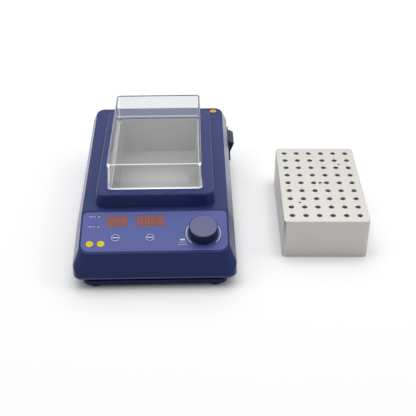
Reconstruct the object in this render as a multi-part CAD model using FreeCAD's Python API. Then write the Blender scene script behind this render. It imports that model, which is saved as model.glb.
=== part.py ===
"""Dry bath incubator with a lift-off clear lid and a loose aluminium tube block.

Millimetres. +Z up, +Y to the rear, +X to the right as the user sees it.
The origin is on the bench, in the middle of the instrument's footprint.
"""
import FreeCAD, Part
import math
import os
from FreeCAD import Placement, Rotation, Vector

os.makedirs("parts", exist_ok=True)

# Housing, outside
BODY_WIDTH = 177.0          # between the side walls
BREAK_GAP = 62.0            # from the front rim to the fold between top and panel
WELL_FRONT_GAP = 20.7       # from that fold to the heated well
WELL_REAR_GAP = 45.8        # from the well to the rear wall
RIM_Z = 13.8                # lower edge of the upper housing
WALL = 2.6                  # moulded wall
SIDE_DRAFT = 3.0            # the side walls lean in towards the top, degrees
FRONT_CORNER_R = 12.0       # upright corners at the front rim
REAR_CORNER_R = 22.0        # upright corners at the rear
DECK_TILT = 4.0             # the top falls to the front, degrees
DECK_REAR_GAP = 17.5        # from the rear wall to the rear edge of the top
DECK_CORNER_R = 10.0
BREAK_Z = 60.7              # height of the fold
BEVEL_OUT = 8.5             # from the top's side edge out to the rim's side
BEVEL_SLOPE = 0.394         # side bevel, sideways for each millimetre down
REAR_BEVEL_OUT = 16.0
REAR_BEVEL_DROP = 19.0
CORNER_GROWTH = 0.42        # corner radius gained for each millimetre down
TOE_GAP = 0.3               # keeps the upright corners off the skirt's lower edge
EDGE_R = 1.4                # softened moulded edges
SEAT_GAP = 0.03             # left between parts that only rest on each other
THREAD_FIT = 0.05           # nut or hole round a threaded barrel
PILOT_IN = 0.25             # screw hole in plastic, inside the screw's radius
SHANK_IN = 0.3              # smooth shank in such a hole, inside the same radius
METAL_SHANK_IN = 0.1        # shank in a tapped metal hole
END_GAP = 0.5               # free hole past the end of a screw
WELL_PASS = 0.8             # housing opening round the well's wall
OVERCUT = 1.0               # cutting tools run this far past the surface
NEAR = 0.1                  # closeness used when picking edges by place

# Control panel
PANEL_TILT = 16.0           # falls to the front, degrees
SKIRT_FLARE = 4.4           # from the panel's front edge out to the rim
PANEL_CORNER_R = 12.0
PANEL_GROWTH = -0.05
FILM_SIDE = 2.0             # from the film's side to the edge of the panel
FILM_TOP = 2.8              # from the fold down to the film
FILM_BOTTOM = 56.4          # from the fold to the film's lower edge
FILM_TOP_R = 5.0
FILM_BOTTOM_R = 10.0
FILM_T = 0.5
FILM_SINK = 0.1             # film surface below the panel's surface
FILM_GAP = 0.2              # film to the edge of its recess

# Displays, lamps and keys, placed down the panel from the fold
DISPLAY_S = 15.7
DISPLAY_HEIGHT = 14.0
DISPLAY_DEPTH = 7.2
TEMP_X = -41.0
TEMP_WIDTH = 22.4
TIMER_X = -4.9
TIMER_WIDTH = 29.6
DISPLAY_GAP = 0.2
LAMP_X = -60.8
LAMP_S = (8.9, 22.9)
LAMP_R = 1.5
KEY_X = (-41.7, -4.7)
KEY_S = 38.2
KEY_R = 4.7
KEY_GAP = 0.3
KEY_TRAVEL = 0.3
KEY_FLANGE_R = 6.0
KEY_FLANGE_T = 0.8
KEY_STEM_R = 1.6
KEY_STEM_DIP = 0.6          # stem inside the switch below it
LAMP_FLANGE_OUT = 0.4
LAMP_FLANGE_T = 1.0
TACT_SIDE = 6.2
TACT_HEIGHT = 3.4
BOARD_T = 1.6
BOARD_HALF_X = 67.2
BOARD_TOP_S = 6.0
BOARD_BOTTOM_S = 52.0
BOARD_BOSS_R = 3.0
BOARD_BOSS_X = 63.0
BOARD_BOSS_S = (16.0, 48.0)
BOARD_PILOT_ROOF = 0.4      # plastic left between the pilot hole and the wall's inner face

# Push-turn control
KNOB_X = 52.4
KNOB_S = 33.5
KNOB_BASE_R = 15.9
KNOB_TOP_R = 15.5
KNOB_HEIGHT = 10.8
KNOB_LIFT = 0.9             # gap under the knob
KNOB_FACETS = 30
KNOB_EDGE = 0.7
KNOB_SKIRT_T = 2.6
KNOB_CROWN_T = 2.2
KNOB_HUB_R = 5.2
PRESS_TRAVEL = 0.5
SHAFT_R = 2.97
SHAFT_FIT = 0.07
SHAFT_ABOVE_PANEL = 9.4
SHAFT_FLAT = 0.9
BUSH_R = 3.5
BUSH_TOP = 3.0
ENCODER_SIDE = 12.6
ENCODER_HEIGHT = 4.6
ENCODER_NUT_R = 5.4
ENCODER_NUT_T = 1.9
THRUST_R = 3.8
THRUST_T = 0.6
SHAFT_FLANGE_T = 0.8
RUNNING_GAP = 0.05          # between the parts that turn or press on each other
CAVITY_FLOOR_T = 0.2
FLAT_FIT = 0.02             # knob bore round the shaft
FLAT_START = 1.0            # from the bush up to the shaft's flat
HUB_GAP = 0.3               # pressed knob to the bush
BORE_END_GAP = 0.1          # end of the shaft to the end of the knob's bore
ENCODER_LID_T = 0.5

# Heated well
WELL_WIDTH = 96.8
WELL_LENGTH = 161.5
WELL_FLOOR_Z = 27.3
WELL_RIM_Z = 73.2
WELL_WALL = 4.5
WELL_FLOOR_T = 6.0
WELL_THREAD_ROOF = 1.5      # left of the floor above its screw holes
WELL_CORNER_R = 4.0
HEATER_T = 1.5
CLAMP_T = 2.0
PAD_T = 5.0
JACKET_T = 7.5
JACKET_TOP_Z = 52.0
JACKET_GAP = 0.2
POST_R = 4.0
POST_X = 44.0
POST_Y = 68.0               # from the middle of the well
POST_FLATS_IN = 0.3
HEATER_HOLE_FIT = 0.5
PROBE_R = 1.5
PROBE_X = 22.0
PROBE_DEPTH = 42.0
PROBE_OUT = 12.0
PROBE_FIT = 0.1
PROBE_END_GAP = 1.0
JACKET_PROBE_FIT = 0.4
CUTOUT_R = 8.0
CUTOUT_HEIGHT = 8.5
CUTOUT_FIT = 1.0
CUTOUT_TAB_X = 4.5
CUTOUT_TAB_WIDTH = 6.0
CUTOUT_TAB_LENGTH = 2.2
TAB_T = 0.8                 # push-on terminals

# Collar round the well
COLLAR_TOP_Z = 76.0
COLLAR_SIDE = 16.4          # upper edge beyond the well, each side
COLLAR_FRONT = 14.2         # upper edge beyond the well, front
COLLAR_REAR = 20.8          # upper edge beyond the well, rear
COLLAR_CORNER_R = 10.0
COLLAR_DRAFT = 0.11         # sideways for each millimetre down
COLLAR_WALL = 2.6
MOUTH_MARGIN = 2.0          # collar mouth beyond the well on every side
COLLAR_BOSS_R = 3.1
COLLAR_BOSS_SIDE = 9.9      # boss beyond the well, each side
COLLAR_BOSS_FRONT = 5.7     # front bosses before the well
COLLAR_BOSS_REACH = 100.3   # rear bosses behind the well's front
COLLAR_SCREW_LENGTH = 8.0
COLLAR_SCREW_ROOF = 0.3     # between the screw's end and the end of its hole

# Lid
LID_SIDE = 4.3              # lower edge beyond the well, each side
LID_FRONT = 1.9             # lower edge beyond the well, front
LID_REAR = 5.6              # lower edge beyond the well, rear
LID_TOP_Z = 107.0
LID_TAPER = 1.1
LID_WALL = 2.2
LID_CORNER_R = 4.0
LID_REBATE = 0.8
LID_GAP = 0.4

# Base tray, feet and case screws
TRAY_INSET = 3.4            # front and rear, inside the housing's rim
TRAY_SIDE_INSET = 10.5
TRAY_BOTTOM_Z = 2.2
TRAY_LEDGE_Z = 9.0
TRAY_NECK_STEP = 2.8        # neck inside the pan
TRAY_NECK_TOP_Z = 17.0
TRAY_BRIM_GAP = 1.2         # brim on the neck to the housing's inner face
TRAY_BRIM_T = 2.0
TRAY_FLOOR_T = 2.4
TRAY_WALL = 2.4
TRAY_CHAMFER = 1.6
SCREW_PAD_R = 7.0           # raised pads over the well screws
SCREW_PAD_T = 1.6
FOOT_X = 64.5
FOOT_FRONT = 12.5           # foot centre behind the front rim
FOOT_REAR = 26.0
FOOT_R = 8.0
FOOT_RECESS = 0.8
FOOT_FIT = 0.2
FOOT_TAPER = 0.8
FOOT_CUP_DEPTH = 1.2
POST_SIDE = 16.0            # case posts in from the rim's sides
POST_FRONT_GAP = 23.0
POST_REAR_GAP = 12.5
CASE_POST_R = 4.6
CASE_JOINT_Z = 22.0
CASE_SCREW_R = 1.5
CASE_HEAD_R = 2.8
CASE_HEAD_T = 2.0
CASE_SCREW_SEAT = 8.0       # head seat above the tray's underside
CASE_SCREW_REACH = 8.0      # screw inside the housing's post
CASE_PILOT_DEPTH = 10.0
SINK_IN = 0.2               # sunk screw heads lie this far inside
SCREW_FIT = 0.2             # hole round a screw
HEAD_FIT = 0.4              # counterbore round a head
VENT_WIDTH = 3.0
VENT_LENGTH = 26.0
VENT_PITCH = 8.0
VENT_COUNT = 6
VENT_GAP = 1.5              # from the well posts out to the slots
VENT_END_FLAT = 0.1

# Support rod socket
SOCKET_SIDE = 19.5          # from the right wall
SOCKET_GAP = 25.0           # from the rear wall
SOCKET_R = 4.3
SOCKET_BORE_R = 2.5
SOCKET_LENGTH = 24.0
SOCKET_POCKET_R = 5.8
SOCKET_POCKET_DEPTH = 0.8
SOCKET_BOSS_R = 7.0
SOCKET_NUT_R = 6.4
SOCKET_NUT_T = 4.0
SOCKET_PLUG_T = 4.0         # closed end of the bore

# Power rocker on the right side
SWITCH_GAP = 50.0           # from the rear wall
SWITCH_Z = 38.4
SWITCH_IN = 1.9             # its seat inside the rim's side
SWITCH_SEAT_FIT = 0.2       # seat round the bezel
ROCKER_HALF = 15.2
ROCKER_R = 14.8             # ends are arcs about the pivot
ROCKER_PIVOT_IN = 2.0
ROCKER_TILT = 9.3           # each way from the middle
ROCKER_TIP_OUT = 5.9        # tip beyond the seat in the middle position
ROCKER_VALLEY_OUT = 3.2
ROCKER_BACK_IN = 5.0
ROCKER_GAP = 0.3
PIVOT_R = 1.4
PIVOT_LENGTH = 1.0
PIVOT_FIT = 0.08
SWITCH_WALL = 1.3
BEZEL_LIP = 1.1
BEZEL_T = 1.1
SWITCH_DEPTH = 20.0
SWITCH_CAVITY = 8.4
SWITCH_TAB_PITCH = 16.0
SWITCH_TAB_OUT = 4.2
SWITCH_TAB_WIDTH = 6.2

# Mains inlet and probe socket on the rear wall
INLET_X = -42.0
INLET_Z = 34.5
INLET_HALF_X = 24.5
INLET_HALF_Z = 17.5
INLET_FLANGE_T = 2.4
INLET_BODY_HALF_X = 14.2
INLET_BODY_HALF_Z = 16.2
INLET_DEPTH = 23.0
INLET_SHROUD_W = 24.4
INLET_SHROUD_H = 16.6
INLET_SHROUD_DEPTH = 15.0
INLET_SHROUD_Z = 6.2        # above the middle of the flange
INLET_SCREW_X = 19.8
INLET_SCREW_LENGTH = 9.0
INLET_HEAD_R = 2.6
INLET_HEAD_T = 1.2
INLET_CORNER_R = 3.0
INLET_FIT = 0.2
INLET_SHROUD_SLANT = 5.15   # cut-off upper corners
INLET_PINS = ((-7.0, -1.5), (7.0, -1.5), (0.0, 2.5))
INLET_PIN_WIDTH = 2.0
INLET_PIN_HEIGHT = 4.0
INLET_PIN_SHORT = 2.5       # pin ends inside the flange's face
DRAWER_Z = 9.6              # below the middle of the flange
DRAWER_W = 21.4
DRAWER_H = 7.6
DRAWER_DEPTH = 18.5
DRAWER_GAP = 0.3
DRAWER_FACE_W = 24.0
DRAWER_FACE_H = 9.6
DRAWER_FACE_T = 1.6
FUSE_R = 2.6
FUSE_LENGTH = 20.0
FUSE_FIT = 0.1
FUSE_SIDE_FIT = 0.4
DRAWER_END_GAP = 0.5
JACK_X = 40.0
JACK_Z = 34.5
JACK_FLANGE_R = 9.5
JACK_FLANGE_T = 2.0
JACK_R = 7.6
JACK_MOUTH_R = 5.4
JACK_MOUTH_DEPTH = 6.0
JACK_LENGTH = 16.0
JACK_NUT_R = 10.5
JACK_NUT_T = 3.0
JACK_FIT = 0.1

# Power electronics in front of the well
POWER_BOARD_X0 = -66.0
POWER_BOARD_X1 = 66.0
POWER_BOARD_FRONT = 14.0
POWER_BOARD_REAR = 62.0
POWER_BOARD_Z = 16.0
STANDOFF_R = 2.8
STANDOFF_INSET = 5.0
STANDOFF_THREAD = 7.0
POWER_SCREW_LENGTH = 5.0
POWER_PARTS_BACK = 8.0      # row of parts behind the board's middle
TRANSFORMER_SIZE = (32.0, 27.0, 22.0)
TRANSFORMER_X = -38.0
RELAY_SIZE = (19.0, 15.5, 15.5)
RELAY_X = -4.0
CAPACITOR_R = 5.0
CAPACITOR_HEIGHT = 13.0
CAPACITOR_X = (14.0, 26.0)
SINK_SIZE = (24.0, 12.0, 22.0)
SINK_X = 45.0
SINK_FINS = 6
SINK_BASE_T = 3.0
SINK_FIN_T = 1.4
TRIAC_SIZE = (10.2, 4.5, 15.0)

# Tube block
BLOCK_WIDTH = 95.5
BLOCK_LENGTH = 160.0
BLOCK_HEIGHT = 48.5
BLOCK_CORNER_R = 4.8
BLOCK_EDGE = 0.5
BLOCK_X = 191.6
BLOCK_Y = -13.7
BLOCK_TURN = -1.6           # as it stands beside the instrument, degrees
TUBE_COLUMNS = 6
TUBE_ROWS = 9
TUBE_PITCH_X = 15.05
TUBE_PITCH_Y = 16.94
TUBE_R = 3.2
TUBE_DEPTH = 36.0
TUBE_TIP_R = 1.4
TUBE_TIP_DEPTH = 42.0
LIFT_R = 2.1
LIFT_DEPTH = 14.0
SENSOR_R = 1.5
SENSOR_DEPTH = 24.0
SENSOR_AT = (1.8, 2.45)     # in tube pitches from the middle

# Worked out from the sizes above
HALF_WIDTH = BODY_WIDTH / 2
BODY_LENGTH = BREAK_GAP + WELL_FRONT_GAP + WELL_LENGTH + WELL_REAR_GAP
FRONT_Y = -BODY_LENGTH / 2
REAR_Y = BODY_LENGTH / 2
BREAK_Y = FRONT_Y + BREAK_GAP
DECK_REAR_Y = REAR_Y - DECK_REAR_GAP
REACH = 1.1 * BODY_LENGTH   # how far the tools that trim the housing run past it
TRIM_DEPTH = BREAK_Z + BODY_LENGTH * math.tan(math.radians(PANEL_TILT))
DECK_FRAME = Placement(Vector(0, BREAK_Y, BREAK_Z), Rotation(Vector(1, 0, 0), DECK_TILT))
PANEL_FRAME = Placement(Vector(0, BREAK_Y, BREAK_Z), Rotation(Vector(1, 0, 0), PANEL_TILT))
BOARD_TOP = -(FILM_SINK + FILM_T + DISPLAY_DEPTH)
TACT_TOP = BOARD_TOP + TACT_HEIGHT
DECK_HALF = HALF_WIDTH - BEVEL_OUT
FILM_HALF = DECK_HALF - FILM_SIDE
WELL_HALF_X = WELL_WIDTH / 2
WELL_HALF_Y = WELL_LENGTH / 2
WELL_FRONT_Y = BREAK_Y + WELL_FRONT_GAP
WELL_Y = WELL_FRONT_Y + WELL_HALF_Y
COLLAR_HALF = WELL_HALF_X + COLLAR_SIDE
COLLAR_BOSS_X = WELL_HALF_X + COLLAR_BOSS_SIDE
COLLAR_BOSS_Y = (WELL_FRONT_Y - COLLAR_BOSS_FRONT, WELL_FRONT_Y + COLLAR_BOSS_REACH)
LID_HALF = WELL_HALF_X + LID_SIDE
WELL_UNDER_Z = WELL_FLOOR_Z - WELL_FLOOR_T
CLAMP_Z = WELL_UNDER_Z - HEATER_T - CLAMP_T
TRAY_FLOOR_Z = TRAY_BOTTOM_Z + TRAY_FLOOR_T
WELL_SCREW_SEAT = TRAY_BOTTOM_Z + CASE_HEAD_T + SINK_IN
SWITCH_X = HALF_WIDTH - SWITCH_IN
SWITCH_Y = REAR_Y - SWITCH_GAP
SOCKET_X = HALF_WIDTH - SOCKET_SIDE
SHAFT_FOOT = BOARD_TOP + CAVITY_FLOOR_T + PRESS_TRAVEL + THRUST_T + 4 * RUNNING_GAP


def sin_cos(degrees):
    angle = math.radians(degrees)
    return math.sin(angle), math.cos(angle)


def outline(x0, x1, y0, y1, front_r, rear_r, z=0.0):
    """Flat closed outline; the low-y corners have front_r and the others rear_r."""
    corners = [
        (x0 + front_r, y0 + front_r, front_r, 180),
        (x1 - front_r, y0 + front_r, front_r, 270),
        (x1 - rear_r, y1 - rear_r, rear_r, 0),
        (x0 + rear_r, y1 - rear_r, rear_r, 90),
    ]
    arcs = []
    for cx, cy, r, start in corners:
        points = []
        for turn in (start, start + 45, start + 90):
            s, c = sin_cos(turn)
            points.append(Vector(cx + r * c, cy + r * s, z))
        arcs.append(points)
    edges = []
    for i, points in enumerate(arcs):
        edges.append(Part.Arc(*points).toShape())
        edges.append(Part.makeLine(points[2], arcs[(i + 1) % 4][0]))
    return Part.Wire(edges)


def prism(x0, x1, y0, y1, z0, z1, front_r, rear_r=None):
    """Upright solid on a rounded outline."""
    wire = outline(x0, x1, y0, y1, front_r, front_r if rear_r is None else rear_r, z0)
    return Part.Face(wire).extrude(Vector(0, 0, z1 - z0))


def box(x0, x1, y0, y1, z0, z1):
    return Part.makeBox(x1 - x0, y1 - y0, z1 - z0, Vector(x0, y0, z0))


def rod(x, y, z0, z1, r):
    return Part.makeCylinder(r, z1 - z0, Vector(x, y, z0))


def rod_along(start, direction, length, r):
    return Part.makeCylinder(r, length, start, direction)


def hexagon(x, y, z0, z1, r, hole):
    """Six-sided nut whose flats touch a circle of radius r."""
    reach = r / math.cos(math.pi / 6)
    points = []
    for i in range(7):
        s, c = sin_cos(60 * i)
        points.append(Vector(x + reach * c, y + reach * s, z0))
    body = Part.Face(Part.makePolygon(points)).extrude(Vector(0, 0, z1 - z0))
    return body.cut(rod(x, y, z0, z1, hole))


def placed(shape, frame):
    moved = shape.copy()
    moved.Placement = frame.multiply(moved.Placement)
    return moved


def on_panel(shape):
    """Model beside the fold: x across, y up the panel, z out of its surface."""
    return placed(shape, PANEL_FRAME)


def join(shapes):
    return shapes[0].multiFuse(shapes[1:]).removeSplitter()


def save(node, shape):
    shape.exportStep("parts/" + node + ".step")


def save_group(node, shapes):
    save(node, Part.makeCompound(shapes))


def deck_z(y):
    """Height of the flat top above a place."""
    return BREAK_Z + (y - BREAK_Y) * math.tan(math.radians(DECK_TILT))


def crown(frame, tilt, inset, rear, front):
    """Tapering top of the housing, trimmed level with one of its two upper planes.

    rear and front are (length, slope, radius, growth) of that end, or None where
    the form runs on past the housing.
    """
    cos_tilt = sin_cos(tilt)[1]
    side_slope = BEVEL_SLOPE / cos_tilt

    def reach(length, slope, depth):
        return length + slope * depth - inset * math.hypot(1, slope)

    wires = []
    for depth in (inset, TRIM_DEPTH):
        half = reach(DECK_HALF, side_slope, depth)
        y0, y1 = -REACH, REACH
        front_r = rear_r = EDGE_R
        if front:
            y0 = -reach(front[0], front[1], depth)
            front_r = front[2] + front[3] * depth - inset
        if rear:
            y1 = reach(rear[0], rear[1], depth)
            rear_r = rear[2] + rear[3] * depth - inset
        wires.append(outline(-half, half, y0, y1, front_r, rear_r, -depth))
    return placed(Part.makeLoft(wires, True, True), frame)


def housing_form(inset, bottom):
    """Closed outer form of the upper housing, moved inwards by inset."""
    front_y = FRONT_Y - TOE_GAP + inset
    lean = math.tan(math.radians(SIDE_DRAFT))
    wires = []
    for z in (bottom, 2 * BREAK_Z):
        half = HALF_WIDTH - lean * (z - RIM_Z) - inset * math.hypot(1, lean)
        wires.append(outline(-half, half, front_y, REAR_Y - inset, FRONT_CORNER_R - inset,
                             REAR_CORNER_R - inset, z))
    walls = Part.makeLoft(wires, True, True)

    s, c = sin_cos(DECK_TILT)
    rear_depth = REAR_BEVEL_OUT * s + REAR_BEVEL_DROP * c
    rear_slope = (REAR_BEVEL_OUT * c - REAR_BEVEL_DROP * s) / rear_depth
    deck_length = (DECK_REAR_Y - BREAK_Y) / c
    rear = (deck_length, rear_slope, DECK_CORNER_R, CORNER_GROWTH)
    deck = crown(DECK_FRAME, DECK_TILT, inset, rear, None)

    s, c = sin_cos(PANEL_TILT)
    panel_length = (BREAK_GAP - SKIRT_FLARE) / c
    skirt = BREAK_Z - panel_length * s - RIM_Z
    front_slope = (SKIRT_FLARE * c + skirt * s) / (skirt * c - SKIRT_FLARE * s)
    front = (panel_length, front_slope, PANEL_CORNER_R, PANEL_GROWTH)
    panel = crown(PANEL_FRAME, PANEL_TILT, inset, None, front)
    return walls.common(deck).common(panel)


def mouth(margin, z0, z1):
    """Upright opening over the well, wider than it by margin."""
    half_x = WELL_HALF_X + margin
    half_y = WELL_HALF_Y + margin
    return prism(-half_x, half_x, WELL_Y - half_y, WELL_Y + half_y, z0, z1, WELL_CORNER_R + margin)


def case_posts():
    front = FRONT_Y + POST_FRONT_GAP
    rear = REAR_Y - POST_REAR_GAP
    x = HALF_WIDTH - POST_SIDE
    return [(-x, front), (x, front), (-x, rear), (x, rear)]


def window_outline(x, width, margin, z0, z1):
    """Rectangular hole or pane of a display, in the panel's own frame."""
    half_x = width / 2 + margin
    half_y = DISPLAY_HEIGHT / 2 + margin
    return box(x - half_x, x + half_x, -DISPLAY_S - half_y, -DISPLAY_S + half_y, z0, z1)


def film_prism(margin, z0, z1):
    return prism(
        -FILM_HALF - margin, FILM_HALF + margin, -FILM_BOTTOM - margin, -FILM_TOP + margin,
        z0, z1, FILM_BOTTOM_R + margin, FILM_TOP_R + margin)


def panel_cuts():
    """Everything that passes through the control panel, in the panel's own frame."""
    z0 = -2 * WALL
    cuts = [
        window_outline(TEMP_X, TEMP_WIDTH, DISPLAY_GAP, z0, WALL),
        window_outline(TIMER_X, TIMER_WIDTH, DISPLAY_GAP, z0, WALL),
        rod(KNOB_X, -KNOB_S, z0, WALL, BUSH_R + DISPLAY_GAP),
    ]
    for s in LAMP_S:
        cuts.append(rod(LAMP_X, -s, z0, WALL, LAMP_R + DISPLAY_GAP))
    for x in KEY_X:
        cuts.append(rod(x, -KEY_S, z0, WALL, KEY_R + KEY_GAP))
    return cuts


def board_bosses():
    return [(x, s) for x in (-BOARD_BOSS_X, BOARD_BOSS_X) for s in BOARD_BOSS_S]


def upper_housing():
    outer = housing_form(0.0, RIM_Z)
    edges = [e for e in outer.Edges if e.BoundBox.ZMax > RIM_Z + NEAR]
    outer = outer.makeFillet(EDGE_R, edges)
    inner = housing_form(WALL, RIM_Z - WALL)
    shell = outer.cut(inner)

    limit = housing_form(WALL / 2, CASE_JOINT_Z)
    posts = [rod(x, y, CASE_JOINT_Z, BREAK_Z + WALL, CASE_POST_R) for x, y in case_posts()]
    socket_y = REAR_Y - SOCKET_GAP
    socket_top = deck_z(socket_y)
    posts.append(rod(SOCKET_X, socket_y, socket_top - SOCKET_LENGTH, socket_top, SOCKET_BOSS_R))
    board_posts = [
        on_panel(rod(x, -s, BOARD_TOP, -WALL / 2, BOARD_BOSS_R)) for x, s in board_bosses()]
    shell = join([shell] + [post.common(limit) for post in posts] + board_posts)

    cuts = [on_panel(cut) for cut in panel_cuts()]
    cuts.append(on_panel(film_prism(FILM_GAP, -(FILM_SINK + FILM_T), WALL)))
    cuts.append(mouth(WELL_WALL + WELL_PASS, BREAK_Z - 5 * WALL, 2 * BREAK_Z))
    for x, y in case_posts():
        cuts.append(rod(x, y, CASE_JOINT_Z - OVERCUT, CASE_JOINT_Z + CASE_PILOT_DEPTH,
                        CASE_SCREW_R - PILOT_IN))
    for x, s in board_bosses():
        cuts.append(on_panel(rod(x, -s, BOARD_TOP - OVERCUT, -WALL - BOARD_PILOT_ROOF,
                                 CASE_SCREW_R - PILOT_IN)))
    for x in (-COLLAR_BOSS_X, COLLAR_BOSS_X):
        for y in COLLAR_BOSS_Y:
            cuts.append(rod(x, y, BREAK_Z - 4 * WALL, 2 * BREAK_Z, CASE_SCREW_R + SCREW_FIT))
    cuts.append(rod(SOCKET_X, socket_y, 0, 2 * BREAK_Z, SOCKET_R + THREAD_FIT))
    cuts.append(rod(SOCKET_X, socket_y, socket_top - SOCKET_POCKET_DEPTH, 2 * BREAK_Z, SOCKET_POCKET_R))
    half_y = ROCKER_HALF + ROCKER_GAP + SWITCH_WALL
    half_z = ROCKER_R + ROCKER_GAP + SWITCH_WALL
    cuts.append(box(SWITCH_X - 4 * WALL, SWITCH_X + OVERCUT, SWITCH_Y - half_y, SWITCH_Y + half_y,
                    SWITCH_Z - half_z, SWITCH_Z + half_z))
    lip = BEZEL_LIP + SWITCH_SEAT_FIT
    cuts.append(box(SWITCH_X, HALF_WIDTH + OVERCUT, SWITCH_Y - half_y - lip, SWITCH_Y + half_y + lip,
                    SWITCH_Z - half_z - lip, SWITCH_Z + half_z + lip))
    cuts.append(box(INLET_X - INLET_BODY_HALF_X, INLET_X + INLET_BODY_HALF_X, REAR_Y - 4 * WALL,
                    REAR_Y + OVERCUT, INLET_Z - INLET_BODY_HALF_Z, INLET_Z + INLET_BODY_HALF_Z))
    for side in (-INLET_SCREW_X, INLET_SCREW_X):
        cuts.append(rod_along(Vector(INLET_X + side, REAR_Y + OVERCUT, INLET_Z), Vector(0, -1, 0),
                              4 * WALL, CASE_SCREW_R))
    cuts.append(rod_along(Vector(JACK_X, REAR_Y + OVERCUT, JACK_Z), Vector(0, -1, 0), 4 * WALL, JACK_R))
    save("upper_housing", shell.cut(Part.makeCompound(cuts)))


def collar_form(inset, top):
    """Drafted outer form of the collar, moved inwards by inset."""
    depth = top - BREAK_Z + COLLAR_WALL
    wires = []
    for drop in (0.0, depth):
        grow = COLLAR_DRAFT * (COLLAR_TOP_Z - top + drop) - inset
        half = COLLAR_HALF + grow
        wires.append(outline(-half, half, WELL_FRONT_Y - COLLAR_FRONT - grow,
                             WELL_Y + WELL_HALF_Y + COLLAR_REAR + grow,
                             COLLAR_CORNER_R + grow, COLLAR_CORNER_R + grow, top - drop))
    return Part.makeLoft(wires, True, True)


def lid_outline(grow, z, taper):
    half = LID_HALF + grow - taper
    return outline(-half, half, WELL_Y - WELL_HALF_Y - LID_FRONT - grow + taper,
                   WELL_Y + WELL_HALF_Y + LID_REAR + grow - taper,
                   LID_CORNER_R + grow, LID_CORNER_R + grow, z)


def well_collar():
    top_z = COLLAR_TOP_Z
    outer = collar_form(0.0, top_z)
    rim = [e for e in outer.Edges if e.BoundBox.ZMin > top_z - NEAR]
    outer = outer.makeFillet(EDGE_R, rim)
    above_deck = placed(box(-REACH, REACH, -REACH, REACH, 0, REACH), DECK_FRAME)
    solid = outer.common(above_deck)
    hollow = collar_form(COLLAR_WALL, top_z - COLLAR_WALL)
    solid = solid.cut(hollow)
    bosses = []
    for x in (-COLLAR_BOSS_X, COLLAR_BOSS_X):
        for y in COLLAR_BOSS_Y:
            bosses.append(rod(x, y, BREAK_Z, top_z - COLLAR_WALL / 2, COLLAR_BOSS_R).common(above_deck))
    solid = join([solid] + bosses)
    cuts = [mouth(MOUTH_MARGIN, 0, 2 * top_z)]
    rebate = Part.Face(lid_outline(LID_GAP, top_z - LID_REBATE, 0.0))
    cuts.append(rebate.extrude(Vector(0, 0, 2 * LID_REBATE)))
    for x in (-COLLAR_BOSS_X, COLLAR_BOSS_X):
        for y in COLLAR_BOSS_Y:
            cuts.append(rod(x, y, 0, top_z - COLLAR_WALL, CASE_SCREW_R - PILOT_IN))
    save("well_collar", solid.cut(Part.makeCompound(cuts)))

    s, c = sin_cos(DECK_TILT)
    screws = []
    for x in (-COLLAR_BOSS_X, COLLAR_BOSS_X):
        for y in COLLAR_BOSS_Y:
            under = deck_z(y) - WALL / c - CASE_HEAD_R * s / c - SEAT_GAP
            head = rod(x, y, under - CASE_HEAD_T, under, CASE_HEAD_R)
            tip = min(under + COLLAR_SCREW_LENGTH, top_z - COLLAR_WALL - COLLAR_SCREW_ROOF)
            screws.append(head.fuse(rod(x, y, under, tip, CASE_SCREW_R - SHANK_IN)))
    save_group("collar_screws", screws)


def lid():
    seat = COLLAR_TOP_Z - LID_REBATE
    outer = Part.makeLoft([lid_outline(0, seat, 0), lid_outline(0, LID_TOP_Z, LID_TAPER)], True, True)
    top_edges = [e for e in outer.Edges if e.BoundBox.ZMin > LID_TOP_Z - NEAR]
    outer = outer.makeFillet(EDGE_R, top_edges)
    ceiling = LID_TOP_Z - LID_WALL
    below = seat - OVERCUT
    rise = LID_TOP_Z - seat
    taper_in = LID_TAPER * (ceiling - seat) / rise
    taper_out = LID_TAPER * (below - seat) / rise
    inner = Part.makeLoft(
        [lid_outline(-LID_WALL, below, taper_out), lid_outline(-LID_WALL, ceiling, taper_in)], True, True)
    save("clear_lid", outer.cut(inner))


def case_outline_prism(side_inset, end_inset, z0, z1):
    """Upright slab that follows the housing's rim, moved inwards at its sides and its ends."""
    half = HALF_WIDTH - side_inset
    return prism(-half, half, FRONT_Y + end_inset, REAR_Y - end_inset, z0, z1,
                 FRONT_CORNER_R - end_inset, REAR_CORNER_R - end_inset)


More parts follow.
